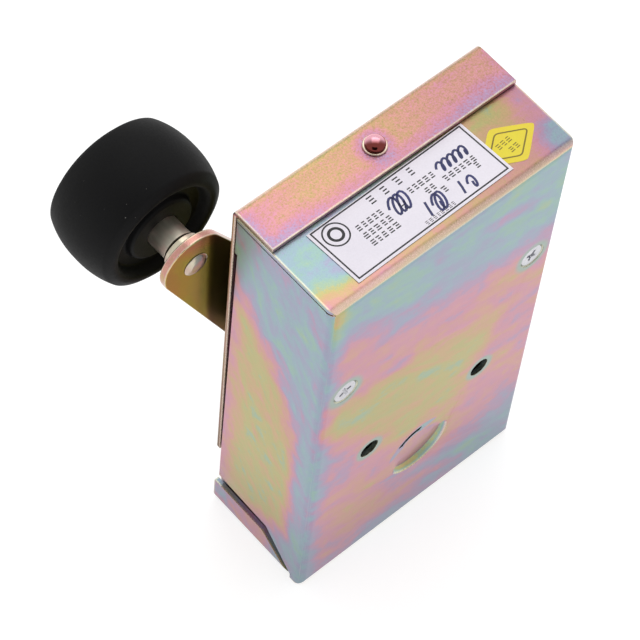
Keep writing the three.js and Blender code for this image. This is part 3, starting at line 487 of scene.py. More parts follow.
def passivated(name, low, high, film=0.0, centre_shift=0.0, reach=1.0, starts=EVEN, field=None,
               rinsed=None, painted_shade=None, gilt=None, warp=1.0, grain=1.0, tone=1.0, rough=0.36,
               muted=0.0, to_end=0.3, dark_sides=0.0):
    """Iridescent zinc film. film is where the colours start at an edge, and centre_shift how far
    they have moved on at reach millimetres from it. field changes the thickness at chosen places,
    rinsed gives the share of thin, grey-green film there, and painted_shade the share of light that
    a painted shade takes away there. gilt is a tint of the faces that look to the front or the back.
    to_end and dark_sides are how much painted shade darkens the top towards the right, and side walls
    towards the bottom. The cut edges and the top bends get a painted highlight, and the lower part a
    painted shade."""
    look = Look(name, Metallic=0.92)
    place = look.split(look.place)
    x, z = place[0], place[2]
    nx, ny, nz = (abs(v) for v in look.split(look.normal))
    distance = edge_distance(look, low, high, starts)
    on_side = look.ramp_up(nx, 0.5, 0.9)
    on_top = look.ramp_up(nz, 0.35, 0.95)

    def streaks(size, along, detail, bend, shift):
        """Drain marks run across the front face and down the side walls."""
        across = look.mapped((0, -16, 0), (along, 1, 1), shift)
        front = look.noise(across, size, detail, 0.55, bend)
        down = look.mapped((28, 0, 0), (1, 1, along), shift)
        side = look.noise(down, size * 0.75, detail, 0.55, bend * 1.4)
        return front * (1 - on_side) + side * on_side
    broad = streaks(6.5, 0.5, 2.5, 0.9, (40, 11, 17))
    fine = streaks(2.3, 0.4, 3, 0.7, (9, 3, 60))
    thin = streaks(0.8, 0.12, 2, 0.1, (5, 30, 6))
    blotch = look.noise(look.mapped(shift=(3, 50, 21)), 1.5, 3, 0.6, 0.4)
    speck = look.noise(look.place, 0.22, 2, 0.75) * (on_top * 1.3 + 1)

    inward = look.ramp_up(distance * (on_side * 1.15 + 1) + broad * 4.0, 0, reach)
    thickness = film + inward * centre_shift
    if field:
        thickness = field(look, place, (nx, ny, nz), thickness)
    thickness = (thickness + broad * (0.17 * warp) + fine * (0.1 * warp) + blotch * (0.06 * warp)
                 + thin * (0.02 * warp) + speck * (0.03 * grain))
    colour = look.colours(look.math("FRACT", thickness + 5), FILM)
    if rinsed:
        colour = look.mix(rinsed(look, place, fine * 0.3), colour, linear(164, 182, 172))
    colour = look.mix(muted, colour, linear(180, 172, 168))
    # Painted highlight along the top bends, in pale pink cream.
    on_bend = look.ramp_up(ny, 0.2, 0.5) * look.ramp_up(nz, 0.2, 0.5)
    on_bend = on_bend * look.ramp_up(z, high.z - 8, high.z - 5)
    colour = look.mix(on_bend * 0.6, colour, linear(255, 226, 208))

    # Painted highlight along the cut edges, in pale cream.
    edge_highlight = look.ramp_up(distance + fine * 0.1, 0.5, 0.12)
    colour = look.mix(edge_highlight * 0.6, colour, linear(240, 230, 196))
    shade = tone + speck * (0.05 * grain) + fine * 0.03 + thin * 0.02
    # Painted shade: darker towards the bottom, across the top towards the right, and down the side walls.
    shade_towards_bottom = look.ramp_up(z, -4, -44, 0, 0.2)
    to_right = on_top * look.ramp_up(x, -32, 30, 0, to_end)
    shade_on_sides = on_side * look.ramp_up(z, 66, -24, dark_sides * 0.5, dark_sides)
    colour = look.scaled_colour(colour, shade - (shade_towards_bottom + to_right + shade_on_sides))
    if gilt:
        colour = look.mix(look.ramp_up(ny, 0.6, 0.9), colour, look.vector("MULTIPLY", colour, gilt))
    # Painted shade, where the piece gives a mask for it.
    if painted_shade:
        colour = look.scaled_colour(colour, 1 - painted_shade(look, place))

    roughness = rough + speck * 0.04 + fine * 0.03 - edge_highlight * 0.1 - on_bend * 0.12
    waves = look.bump(look.noise(look.place, 13, 1), 0.05)
    normal = look.bump(speck * (1 - on_bend * 0.8), 0.006 * grain, waves)
    return look.done(colour, roughness, normal)


def bright_zinc(name, colour=(206, 208, 212), rough=0.2, tint=(212, 200, 186), streaks=(1, 1, 1)):
    look = Look(name, Metallic=1.0)
    cloud = look.noise(look.place, 1.6, 2)
    lines = look.noise(look.mapped(scale=streaks), 0.3, 2, 0.5)
    base = look.mix(look.ramp_up(cloud, -0.6, 1.0, 0, 0.8), linear(*colour), linear(*tint))
    base = look.scaled_colour(base, 1 + lines * 0.05)
    return look.done(base, rough + cloud * 0.04 + lines * 0.04, look.bump(lines, 0.001))


def domed(name, centre):
    """A bright head with a painted reflection: dark red on its front side, bright pink towards the back."""
    look = Look(name, Metallic=1.0)
    x, y = look.split(look.place)[:2]
    across = (x - centre.x) * 0.6 + (y - centre.y) * 0.8
    grain = look.noise(look.place, 0.5, 2)
    # Painted reflection: the colour turns from dark red at the front to bright pink at the back.
    share = look.ramp_up(across + grain * 0.15, -0.9, 0.8)
    base = look.mix(share, linear(116, 56, 52), linear(238, 176, 190))
    return look.done(base, 0.14 + grain * 0.03, look.bump(grain, 0.001))


def worked_metal(name, colour, rough):
    look = Look(name, Metallic=1.0)
    cloud = look.noise(look.place, 3.5, 3)
    grain = look.noise(look.place, 0.15, 2, 0.65)
    base = look.scaled_colour(linear(*colour)[:3], 1 + cloud * 0.06 + grain * 0.042)
    return look.done(base, rough + cloud * 0.05 + grain * 0.04, look.bump(grain, 0.003))


def moulded(name, colour, rough, depth=0.006, dust=None, **settings):
    """A moulding, with dust of the given colour lying in patches."""
    look = Look(name, **settings)
    cloud = look.noise(look.place, 4, 3)
    grain = look.noise(look.place, 0.28, 2, 0.7)
    base = look.scaled_colour(linear(*colour)[:3], 1 + cloud * 0.06 + grain * 0.06)
    if dust:
        dots = look.node("ShaderNodeTexVoronoi", "Distance", {
            "Vector": look.place, "Scale": 0.55, "Randomness": 1.0})
        size = look.ramp_up(look.noise(look.place, 6, 2), 0.1, 1.2, 0.0, 0.09)
        dusty = look.math("LESS_THAN", dots + grain * 0.03, size)
        base = look.mix(dusty * 0.7, base, linear(*dust))
    normal = look.bump(grain, depth, look.bump(look.noise(look.place, 2.5, 2), depth * 2))
    return look.done(base, rough + cloud * 0.04 + grain * 0.05, normal)


def printed(name, colour, rough=0.45, tint=None):
    look = Look(name)
    cloud = look.noise(look.place, 3, 3)
    grain = look.noise(look.place, 0.2, 2)
    base = look.mix(look.ramp_up(cloud, -1, 1), linear(*colour), linear(*(tint or colour)))
    base = look.scaled_colour(base, 1 + grain * 0.03)
    return look.done(base, rough + grain * 0.04, look.bump(grain, 0.003))


def case_field(look, place, normal, _):
    """The film on the case: the front, a side wall with its ear, the top wall, and the knock-out."""
    x, y, z = place
    off_band = look.highest(
        look.ramp_up(x * 0.3 + z, 12, 34), look.ramp_up(x * 0.9 + z, -2, -20),
        look.ramp_up(x - z * 0.3, 6, 20))
    front = (0.27 + off_band * 0.28 + look.ramp_up(x * 0.3 + z, 38, 54, 0, 0.36)
             + look.ramp_up(z - x * 0.4, -24, -46, 0, 0.3) + look.ramp_up(x, -26, -32.2, 0, 0.3))
    off_patch = look.highest(
        look.ramp_up(z - y * 1.7, -8, 16), look.ramp_up(y, 9.5, 3.5), look.ramp_up(y, 22, 28.8, 0, 0.5),
        look.ramp_up(y * 0.5 + z, -18, -33))
    side = 0.25 + off_patch * 0.62
    ear = look.ramp_up(y, 5, 12) * look.ramp_up(z, CASE_LOW.z + 8.8, CASE_LOW.z + 8)
    side = look.mix_value(ear, side, look.ramp_up(y, 14, 6, 0.56, 0.96) + look.ramp_up(y, 19, 28, 0, 0.14))
    step_down = look.ramp_up(normal[2], 0.12, 0.25) * look.ramp_up(z, -28, -31)
    side = look.mix_value(step_down, side, 0.24)
    thickness = look.mix_value(look.ramp_up(normal[0], 0.35, 0.9), front, side)

    to_end = 0.9 + look.ramp_up(x, -30, 22, 0, 0.32) + look.ramp_up(x, 22, 32, 0, 0.44)
    to_front = look.ramp_up(y, 8, 1.0) * look.ramp_up(x, -30, 26, 0.58, 0.14)
    thickness = look.mix_value(look.ramp_up(normal[2], 0.12, 0.9), thickness, to_end + to_front)

    cx, cz, radius = KNOCKOUT
    deep_x, deep_z = math.cos(KNOCKOUT_LEAN), math.sin(KNOCKOUT_LEAN)
    from_middle = radial(look, x, z, (cx, cz))
    inside = look.ramp_up(from_middle, radius + 0.4, radius - 0.2)
    sunk = look.ramp_up(y, 0.04, 0.5) * inside
    thickness = look.mix_value(sunk, thickness, 0.62)
    lean = (x - cx) * deep_x + (z - cz) * deep_z
    on_slope = look.ramp_up(from_middle, radius * 0.84, radius * 0.87) * look.ramp_up(lean, 1.2, 2.6)
    thickness = look.mix_value(on_slope * sunk, thickness, look.ramp_up(y, 0.2, 0.9, 0.97, 1.2))
    from_slit = radial(look, x, z, (cx - SLIT_SHIFT * deep_x, cz - SLIT_SHIFT * deep_z))
    at_slit = look.ramp_up(from_slit, 2.7, 3.5) * look.ramp_up(lean, -4.4, -5.4)
    at_slit = at_slit * inside * look.ramp_up(y, 1.6, 1.2, 0, 0.8)
    return look.mix_value(at_slit, thickness, 0.95)


def rinsed_holes(look, place, unevenness):
    """The film is thin round the screws and the fixing holes."""
    x, y, z = place
    screws = [((middle(node).x, middle(node).z), 5.4, 3.7) for node in FRONT_SCREWS]
    holes = [(centre, 4.3, 3.1) for centre in FIXING_HOLES]
    shares = [look.ramp_up(radial(look, x, z, centre) + unevenness, outer, inner)
              for centre, outer, inner in screws + holes]
    return look.highest(*shares) * look.ramp_up(y, 1.6, 1.2)


def cover_field(look, place, normal, thickness):
    """On the cover: a purple ring round the domed screw, and a yellower back bend and back face."""
    x, y = place[:2]
    screw = (middle("lid_screw").x, middle("lid_screw").y)
    halo = look.ramp_up(radial(look, x, y, screw), 5.4, 2.9, 0, 0.2)
    to_left = look.ramp_up(x, -16, -31, 0, 0.12)
    to_right = look.ramp_up(x, 2, 20, 0, 0.09)
    to_back = look.ramp_up(y, 27.2, 29.4, 0, -0.16)
    on_top = look.ramp_up(normal[2], 0.4, 0.8) * (halo + to_left + to_right + to_back)
    inner = look.ramp_up(edge_distance(look, COVER_LOW, COVER_HIGH), 3, 30, 0, -0.45)
    return thickness + on_top + look.ramp_up(normal[1], 0.6, 0.95) * inner


def lever_painted_shade(look, place):
    """Painted shade on the lever's front, where it passes behind the cover and reflects its dark back."""
    x, y = place[:2]
    front = corners("lever_arm")[0].y
    return look.ramp_up(x, -35.4, -33.2, 0, 0.72) * look.ramp_up(y, front + 0.4, front + 0.1)


CASE_LOOK = passivated(
    "passivated_case", CASE_LOW, CASE_HIGH, field=case_field, rinsed=rinsed_holes, warp=1.2, grain=0.9,
    tone=0.88, muted=0.12)
COVER_LOOK = passivated(
    "passivated_cover", COVER_LOW, COVER_HIGH, film=0.6, centre_shift=-0.2, reach=5,
    starts=((0, 3), (0, 3), (2, 0)), field=cover_field, warp=0.32, grain=2.1, tone=0.87, to_end=0.2,
    dark_sides=0.5)
LEVER_LOOK = passivated(
    "passivated_lever", *corners("lever_arm"), film=0.5, centre_shift=-0.24, reach=6,
    painted_shade=lever_painted_shade, gilt=(1.0, 1.06, 0.38), warp=0.4, tone=0.78, rough=0.19)
TURNING = (1, 0.12, 1)  # streaks round an axis along y
ZINC = bright_zinc("zinc_plate")
SCREW_ZINC = bright_zinc("zinc_screw", (204, 204, 210), 0.24, (190, 190, 194))
DOME_ZINC = domed("zinc_dome", middle("lid_screw"))
STUD_ZINC = bright_zinc("zinc_stud", (202, 194, 172), 0.22, (198, 164, 154), TURNING)
BUSH_ZINC = bright_zinc("zinc_bush", (214, 208, 190), 0.36, (212, 176, 164), TURNING)
STEEL = worked_metal("oiled_steel", (150, 150, 148), 0.32)
SPRING = worked_metal("spring_wire", (128, 128, 130), 0.3)
BRASS = worked_metal("pressed_brass", (190, 158, 92), 0.3)
SILVER = worked_metal("silver_tip", (222, 220, 214), 0.25)
TYRE = moulded("tyre_rubber", (10, 10, 11), 0.6, 0.008, dust=(112, 110, 106), Specular_IOR_Level=0.13)
SEAL = moulded("seal_rubber", (30, 30, 32), 0.5)
BAKELITE = moulded("dark_moulding", (60, 38, 30), 0.36)
NYLON = moulded("light_moulding", (214, 208, 190), 0.42)
PAPER = printed("label_paper", (237, 232, 241), 0.5, tint=(233, 228, 238))
FILM_YELLOW = printed("sticker_film", (230, 214, 36), 0.42, tint=(232, 206, 46))
BLACK_INK = printed("black_ink", (20, 19, 25))
BLUE_INK = printed("blue_ink", (30, 33, 84), tint=(44, 48, 108))
OLIVE_INK = printed("olive_ink", (120, 104, 18))


# ---------------- case and cover

def on_knockout(place):
    """Whether a place in millimetres is on the pressed disc or close round it."""
    cx, cz, radius = KNOCKOUT
    return math.dist((place.x, place.z), (cx, cz)) < radius + 1.5 and place.y < 4


def knockout_depth(x, z):
    """How far the pressed disc stands in from the front face, with x and z taken from its middle."""
    def step(value, low, high):
        t = min(1, max(0, (value - low) / (high - low)))
        return t * t * (3 - 2 * t)
    deepest = 1.5
    share = min(math.hypot(x, z) / KNOCKOUT[2], 1)
    away = abs((math.degrees(math.atan2(z, x) - KNOCKOUT_LEAN) + 540) % 360 - 180)
    lean = deepest / 2 * (1 + math.cos(math.radians(away)) * share)
    held = step(away, 74, 84) * (1 - step(away, 150, 158))
    slope = 1 if away > 150 else min(1, (1 - share) / 0.14)
    return lean * slope * (1 - held) + lean * (1 - step(share, 0.5, 1)) * held


def housing():
    """On the pressed disc the shading follows the true curve of the pressing."""
    made = refined("housing", CASE_LOOK, edge=0.2, shading=30, left_as_is=on_knockout)
    normals = [corner.vector.copy() for corner in evaluated(made).data.corner_normals]
    cx, cz, radius = KNOCKOUT
    rim, inner_face, step = 0.03, 1.7, 0.05
    mesh = made.data
    for face in mesh.polygons:
        centre = face.center / MM
        outside = math.dist((centre.x, centre.z), (cx, cz)) > radius - rim
        if outside or centre.y > inner_face or face.normal.y > -0.3:
            continue
        for corner in face.loop_indices:
            vertex = mesh.vertices[mesh.loops[corner].vertex_index].co / MM
            at = vertex.lerp(centre, 0.2)
            x, z = at.x - cx, at.z - cz
            across = knockout_depth(x + step, z) - knockout_depth(x - step, z)
            along = knockout_depth(x, z + step) - knockout_depth(x, z - step)
            normals[corner] = Vector((across, -2 * step, along)).normalized()
    made.modifiers.clear()
    mesh.normals_split_custom_set(normals)


housing()
refined("lid_cover", COVER_LOOK, edge=0.18)


# ---------------- fasteners

def front_screw(node):
    """A countersunk screw with a cross recess."""
    low, high = corners(node)
    x, z = middle(node).x, middle(node).z
    head = (high.x - low.x) / 2
    shank = head / 2
    face = low.y + 0.1
    body = revolved(node + "_turned", eased([
        (0.05, face), (head * 0.6, face - 0.06), (head - 0.25, face - 0.1), (head, face + 0.15),
        (shank, face + head - shank), *threaded_profile(shank, face + head - shank + 0.3, high.y, 0.5),
        (0.05, high.y),
    ], 0.06), "y", (x, z))
    depth, reach, half_width = 1.0, 2.05, 0.42
    turn = math.radians(20 if x < 0 else 62)
    for angle in (turn, turn + math.pi / 2):
        body = cut_away(body, blade((x, z), face, depth, reach, half_width, angle))
    middle_recess = [(0.85, face - 1), (0.8, face), (0.1, face + depth * 1.1)]
    body = cut_away(body, revolved("recess", middle_recess, "y", (x, z), 24))
    return finished(smooth(body, 30), node, SCREW_ZINC)


def threaded_profile(radius, start, end, pitch):
    """Grooves for a short turned thread, as profile points."""
    points = []
    place = start
    while place + pitch < end:
        points += [(radius, place), (radius * 0.86, place + pitch / 2)]
        place += pitch
    return [*points, (radius, place), (radius * 0.8, end - 0.05)]


def blade(centre, face, depth, reach, half, turn):
    """One pair of opposite tapered arms of a cross recess."""
    points = []
    for y, r, h in ((face - 1, reach * 1.12, half * 1.15), (face + depth, reach * 0.42, half * 0.6)):
        for u, v in ((-r, -h), (r, -h), (r, h), (-r, h)):
            points.append((centre[0] + u * math.cos(turn) - v * math.sin(turn), y,
                           centre[1] + u * math.sin(turn) + v * math.cos(turn)))
    return mesh_object("blade", points, [
        (0, 1, 2, 3), (7, 6, 5, 4), (0, 4, 5, 1), (1, 5, 6, 2), (2, 6, 7, 3), (3, 7, 4, 0)])


for name in FRONT_SCREWS:
    front_screw(name)


def cover_screw():
    """The domed screw through the cover's flange."""
    low, high = corners("lid_screw")
    washer_low, washer_high = corners("lid_screw_washer")
    seat = washer_high.z + 0.1
    head = (high.x - low.x) / 2
    edge = seat + 0.25
    angles = [i / 20 * math.pi / 2 for i in range(21)]
    dome = [(max(0.02, head * math.cos(a)), edge + (high.z - edge) * math.sin(a)) for a in angles]
    centre = (middle("lid_screw").x, middle("lid_screw").y)
    profile = [
        (0.05, low.z), (1.2, low.z), *threaded_profile(1.5, low.z + 0.3, washer_low.z - 1.5, 0.5),
        (1.5, seat), (head - 0.1, seat), *dome,
    ]
    turned("lid_screw", profile, "z", centre, DOME_ZINC, ease=0.05)
    ring("lid_screw_washer", "z", centre, 1.7, STUD_ZINC, ease=0.2)


cover_screw()


def nut(node, axis, centre, bore, look):
    """A hexagon nut with chamfered corners."""
    low, high = corners(node)
    k = "xyz".index(axis)
    t0, t1 = low[k], high[k]
    sizes = [high[i] - low[i] for i in range(3) if i != k]
    flats = min(sizes) / 2
    round_off = flats * 1.02

    def hexagon(limit):
        def radius(angle):
            turn = (angle - flat_angle) % (TAU / 6)
            return min(limit, flats / math.cos(min(turn, TAU / 6 - turn)))
        return radius
    flat_angle = 0 if sizes[0] >= sizes[1] else TAU / 12
    rises = [flats * 0.14 * i / 4 for i in range(5)]
    rows = [
        (bore + 0.3, t0), (round_off - 0.2, t0),
        *((hexagon(round_off + rise), t0 + rise) for rise in rises),
        *((hexagon(round_off + rise), t1 - rise) for rise in reversed(rises)),
        (round_off - 0.2, t1), (bore + 0.3, t1), (bore, t1 - 0.3), (bore, t0 + 0.3),
    ]
    made = revolved(node + "_turned", rows, axis, centre, 144, closed=True)
    return finished(smooth(made, 24), node, look)


# ---------------- label and sticker

LABEL = {"node": "rating_label", "turn": math.radians(1.1), "length": 41.6, "width": 14.6}
STICKER = {"node": "inspection_sticker", "turn": math.radians(5), "length": 16.2, "width": 10.6}
INK = 0.012  # how far print stands above its paper
PEN_WIDTH = 0.52


def on_sheet(sheet, u, v, rise=0.0):
    """A point on a label from its middle: u along it, v across it."""
    centre = middle(sheet["node"])
    top = corners(sheet["node"])[1].z
    s, c = math.sin(sheet["turn"]), math.cos(sheet["turn"])
    u -= 0.038 * v  # the sheets are a little out of square
    return (centre.x + u * c - v * s, centre.y + u * s + v * c, top + rise + crease(u, v))


def crease(u, v):
    """The paper isn't quite flat: a slow wave, and a lifted dent towards the right end."""
    wave = 0.02 * (math.sin(u * 0.34 + v * 0.2) - 1)
    return wave - 0.03 * math.exp(-((u - 15.5) / 2.2) ** 2 - ((v + 1.5) / 2.5) ** 2)


def ribbon(points, width, closed=False):
    """Corner pairs for a flat line of the given width through the points."""
    count = len(points)
    pairs = []
    for i, here in enumerate(points):
        before = points[i - 1] if closed or i > 0 else here
        after = points[(i + 1) % count] if closed or i < count - 1 else here
        lead = (Vector(after) - Vector(here)).normalized() + (Vector(here) - Vector(before)).normalized()
        lead.normalize()
        side = Vector((-lead.y, lead.x))
        inward = (Vector(here) - Vector(before)).normalized() if before != here else lead
        stretch = 1 / max(0.5, abs(lead.dot(inward)))
        pairs.append((Vector(here) + side * width / 2 * stretch, Vector(here) - side * width / 2 * stretch))
    return pairs


def divided(line, closed, step=0.5):
    """The same line with extra points, so that it can follow its sheet."""
    out = []
    count = len(line)
    for i in range(count if closed else count - 1):
        here, after = Vector(line[i]), Vector(line[(i + 1) % count])
        parts = max(1, math.ceil((after - here).length / step))
        out += [tuple(here.lerp(after, k / parts)) for k in range(parts)]
    return out if closed else [*out, line[-1]]


def print_marks(name, sheet, lines, look):
    """Lines are (points, width, closed), printed as one thin mesh."""
    points, faces = [], []
    for line, width, closed in lines:
        pairs = ribbon(divided(line, closed), width, closed)
        first = len(points)
        for left, right in pairs:
            points += [on_sheet(sheet, *left, INK), on_sheet(sheet, *right, INK),
                       on_sheet(sheet, *right, -INK), on_sheet(sheet, *left, -INK)]
        faces += [[first + i for i in face] for face in ring_faces(len(pairs), 4, closed)]
    made = mesh_object(name, points, faces)
    return finished(smooth(made, 30), sheet["node"], look, replace=False)


def paper_sheet(sheet, inside, look, step=0.4):
    """A thin sheet with a thickness, meshed finely enough to follow its creases."""
    low, high = corners(sheet["node"])
    thick = high.z - low.z
    half_l, half_w = sheet["length"] / 2, sheet["width"] / 2
    nu, nv = round(sheet["length"] / step), round(sheet["width"] / step)
    points, faces = [], []
    for face_rise in (0, -thick):
        for i in range(nu + 1):
            for j in range(nv + 1):
                u, v = inside(2 * i / nu - 1, 2 * j / nv - 1, half_l, half_w)
                x, y, z = on_sheet(sheet, u, v, face_rise)
                points.append((x, y, z if face_rise == 0 else max(z, low.z - 0.02)))
    row = nv + 1
    layer = (nu + 1) * row
    for i in range(nu):
        for j in range(nv):
            a = i * row + j
            faces.append((a, a + row, a + row + 1, a + 1))
            faces.append((layer + a, layer + a + 1, layer + a + row + 1, layer + a + row))
    rim = [i * row for i in range(nu + 1)] + [nu * row + j for j in range(1, nv + 1)]
    rim += [i * row + nv for i in range(nu - 1, -1, -1)] + [j for j in range(nv - 1, 0, -1)]
    for k, a in enumerate(rim):
        b = rim[(k + 1) % len(rim)]
        faces.append((a, b, layer + b, layer + a))
    made = mesh_object(sheet["node"] + "_sheet", points, faces)
    return finished(smooth(made, 50), sheet["node"], look)


def rectangle_map(a, b, half_l, half_w):
    return a * half_l, b * half_w


def rhombus_map(a, b, half_l, half_w):
    """The square's corners become the rhombus's blunt tips."""
    u, v = (a + b) / 2, (b - a) / 2
    blunt = 1 - 0.07 * (abs(a * b)) ** 6
    return u * half_l * blunt, v * half_w * blunt


def bars(u0, u1, v, height, seed, width=0.2):
    """A line of print: stacks of short level dashes, not characters."""
    draw = random.Random(seed)
    lines = []
    u = u0
    while u + height * 0.8 <= u1 + 0.01:
        wide = height * draw.uniform(0.65, 0.9)
        for level in (-0.5, 0, 0.5):
            inset = draw.uniform(0, 0.3) * wide
            at = v + level * height * 0.8
            lines.append(([(u + inset, at), (u + wide, at)], width, False))
        u += wide + height * 0.28
    return lines


def scribble(u, v, length, height, loops, slant=0.35):
    """Pen loops run on one another, and make no letters."""
    steps = 14 * loops
    line = []
    for i in range(steps + 1):
        t = i / steps
        a = t * loops * TAU
        rise = height / 2 * math.sin(a)
        line.append((u + length * t + height * 0.22 * (1 - math.cos(a)) + rise * slant, v + rise))
    return (line, PEN_WIDTH, False)


def circle(u, v, r, width, steps=48):
    angles = [TAU * i / steps for i in range(steps)]
    return ([(u + r * math.cos(a), v + r * math.sin(a)) for a in angles], width, True)


def rating_label():
    paper_sheet(LABEL, rectangle_map, PAPER)
    half_l, half_w = LABEL["length"] / 2 - 0.8, LABEL["width"] / 2
    back, front = half_w - 0.35, -half_w + 0.75
    border = ([(-half_l, front), (half_l, front), (half_l, back), (-half_l, back)], 0.34, True)
    marks = [border, circle(-16.3, 3.75, 2.7, 0.34), circle(-16.3, 3.75, 1.45, 0.6)]
    for i in range(4):
        marks += bars(-6.3 + 3.5 * i, -4.3 + 3.5 * i, 5.3, 1.9, 10 + i, 0.3)
    rows = [(-12.7, -5, 2), (1.3, 8.4, 2), (-12.7, -4, -0.2), (-2.2, 0.4, -0.2), (3.7, 7.4, -0.2),
            (8.6, 18.4, -0.4), (-12.7, -5, -2.3), (6.5, 8, -2.1), (15.6, 17.2, -2)]
    for i, (u0, u1, v) in enumerate(rows):
        marks += bars(u0, u1, v, 1.4, 20 + i, 0.27)
    marks += bars(-1.4, 6.8, -5.7, 0.9, 40, 0.14)
    print_marks("label_print", LABEL, marks, BLACK_INK)
    pen = [
        scribble(-4.5, 1.2, 3.6, 4.2, 3), scribble(9.2, 2.3, 7.6, 2.3, 5),
        ([(1.9, -1.8), (1.4, -3.4), (0.9, -5.2)], PEN_WIDTH, False), scribble(2.6, -3.5, 1.8, 4, 2),
        ([(10.4, -2.4), (10.0, -4.0), (9.5, -5.5)], PEN_WIDTH, False), scribble(11.4, -4.2, 1.2, 2.9, 1, 0.3),
    ]
    print_marks("label_pen_marks", LABEL, pen, BLUE_INK)


def inspection_sticker():
    paper_sheet(STICKER, rhombus_map, FILM_YELLOW)
    tips = [(5.75, 0), (0, 3.6), (-5.75, 0), (0, -3.6)]
    outline = (eased(tips, 0.9, closed=True, steps=5), 0.3, True)
    marks = [outline, *bars(-2.3, 1.6, 0.9, 1.3, 50, 0.2), *bars(-0.9, 1.9, -1.2, 1.2, 52, 0.2)]
    print_marks("sticker_print", STICKER, marks, OLIVE_INK)


rating_label()
inspection_sticker()


# ---------------- lever, shaft and roller

def lever_point(u, v):
    """u runs from the pivot towards the roller, v across the lever."""
    c, s = math.cos(LEAN), math.sin(LEAN)
    return (PIVOT.x - u * s + v * c, PIVOT.z + u * c + v * s)


def arc(u, v, r, start, end, steps):
    """Points round (u, v), between two angles in degrees."""
    angles = [math.radians(start + (end - start) * i / steps) for i in range(steps + 1)]
    return [(u + r * math.cos(a), v + r * math.sin(a)) for a in angles]


SHAFT_R = 4
SHAFT_FLAT = 2.8
THREAD_R = 3
SHAFT_STEP_Y = 5.4  # the shaft is thinner in front of here


def lever_arm():
    low, high = corners("lever_arm")
    reach = math.dist(PIVOT_AXIS, ROLLER_AXIS) + 0.9
    half, pivot_half = 7.5, 9.9
    flare = math.degrees(math.asin((pivot_half - half) / reach))
    outline = [lever_point(*p) for p in [
        *arc(reach, 0, half, flare - 90, 90 - flare, 40),
        *arc(0, 0, pivot_half, 90 - flare, 270 + flare, 40)]]
    flat = math.degrees(math.acos(SHAFT_FLAT / SHAFT_R))
    hole = [lever_point(*p) for side in (0, 180)
            for p in arc(0, 0, SHAFT_R + 0.15, side + flat, side + 180 - flat, 12)]
    made = plate("lever_arm_pressed", outline, [hole], low.y, high.y, 0.22)
    finished(smooth(made, 30), "lever_arm", LEVER_LOOK)


def roller_stud():
    low, high = corners("roller_stud")
    lever_low, lever_high = corners("lever_arm")
    clip = corners("roller_clip")[0].y - 0.1
    front, back = lever_low.y, lever_high.y
    end = high.y
    rivet = [(0.03, low.y), (0.8, low.y + 0.03), (1.6, low.y + 0.14), (2.3, low.y + 0.36),
             (2.8, low.y + 0.62), (3.0, front - 0.08)]
    profile = [
        *rivet, (2.4, front - 0.05), (2.4, back + 0.1), (4.3, back + 0.1), (4.3, back + 2.9), (4, back + 3.3),
        (3, back + 3.3), (3, clip), (2.3, clip), (2.3, clip + 0.8), (3, clip + 0.8), (3, end - 0.5),
        (2.5, end), (0.03, end),
    ]
    turned("roller_stud", profile, "y", ROLLER_AXIS, STUD_ZINC, ease=0.18)


def roller_tyre():
    """Barrel tread, a flat rim on each side, and a ring groove round the hub."""
    low, high = corners("roller_tyre")
    radius = (high.z - low.z) / 2
    half = (high.y - low.y) / 2
    centre_y = (low.y + high.y) / 2
    bore = 3.85
    side = [(bore, half - 0.9), (7.4, half - 0.9), (7.9, half - 1.2), (8.3, half - 2.6), (10.9, half - 2.6),
            (11.6, half - 0.8), (12.2, half), (13.3, half)]
    shoulder = 0.9
    tread = []
    for i in range(15):
        t = shoulder * (1 - i / 14)
        tread.append((radius - 2.1 * t ** 2.3, half * t))
    far = [*eased([*side, tread[0]], 0.45, steps=5)[:-1], *tread]
    profile = [(r, centre_y + t) for r, t in far] + [(r, centre_y - t) for r, t in far[-2::-1]]
    made = revolved("roller_tyre_moulded", profile, "y", ROLLER_AXIS, 160, closed=True)
    finished(smooth(made, 50), "roller_tyre", TYRE)


def pivot_shaft():
    low, high = corners("pivot_shaft")
    lever_low, lever_high = corners("lever_arm")

    def flats(angle):
        across = abs(math.sin(angle + LEAN - math.pi / 2))
        return min(SHAFT_R, SHAFT_FLAT / max(across, 0.01))
    rows = [
        (0.03, low.y), (THREAD_R - 0.3, low.y), (THREAD_R, low.y + 0.3), (THREAD_R, SHAFT_STEP_Y),
        (SHAFT_R - 0.2, SHAFT_STEP_Y), (SHAFT_R, SHAFT_STEP_Y + 0.2), (SHAFT_R, lever_low.y - 0.1),
        (flats, lever_low.y - 0.1), (flats, lever_high.y - 0.1), (THREAD_R - 0.25, lever_high.y),
        *threaded(THREAD_R, lever_high.y + 0.1, high.y - 0.5, 1.0, 0.5),
        (THREAD_R - 0.5, high.y - 0.05), (THREAD_R - 0.7, high.y), (0.03, high.y),
    ]
    made = revolved("pivot_shaft_turned", rows, "y", PIVOT_AXIS, 72)
    finished(smooth(made, 30), "pivot_shaft", STEEL)


def roller_clip():
    low, high = corners("roller_clip")
    outline = [*arc(*ROLLER_AXIS, 4.6, 120, 420, 48), *arc(*ROLLER_AXIS, 2.5, 420, 120, 40)]
    made = plate("roller_clip_pressed", outline, [], low.y, high.y, 0.08)
    finished(smooth(made, 30), "roller_clip", SPRING)


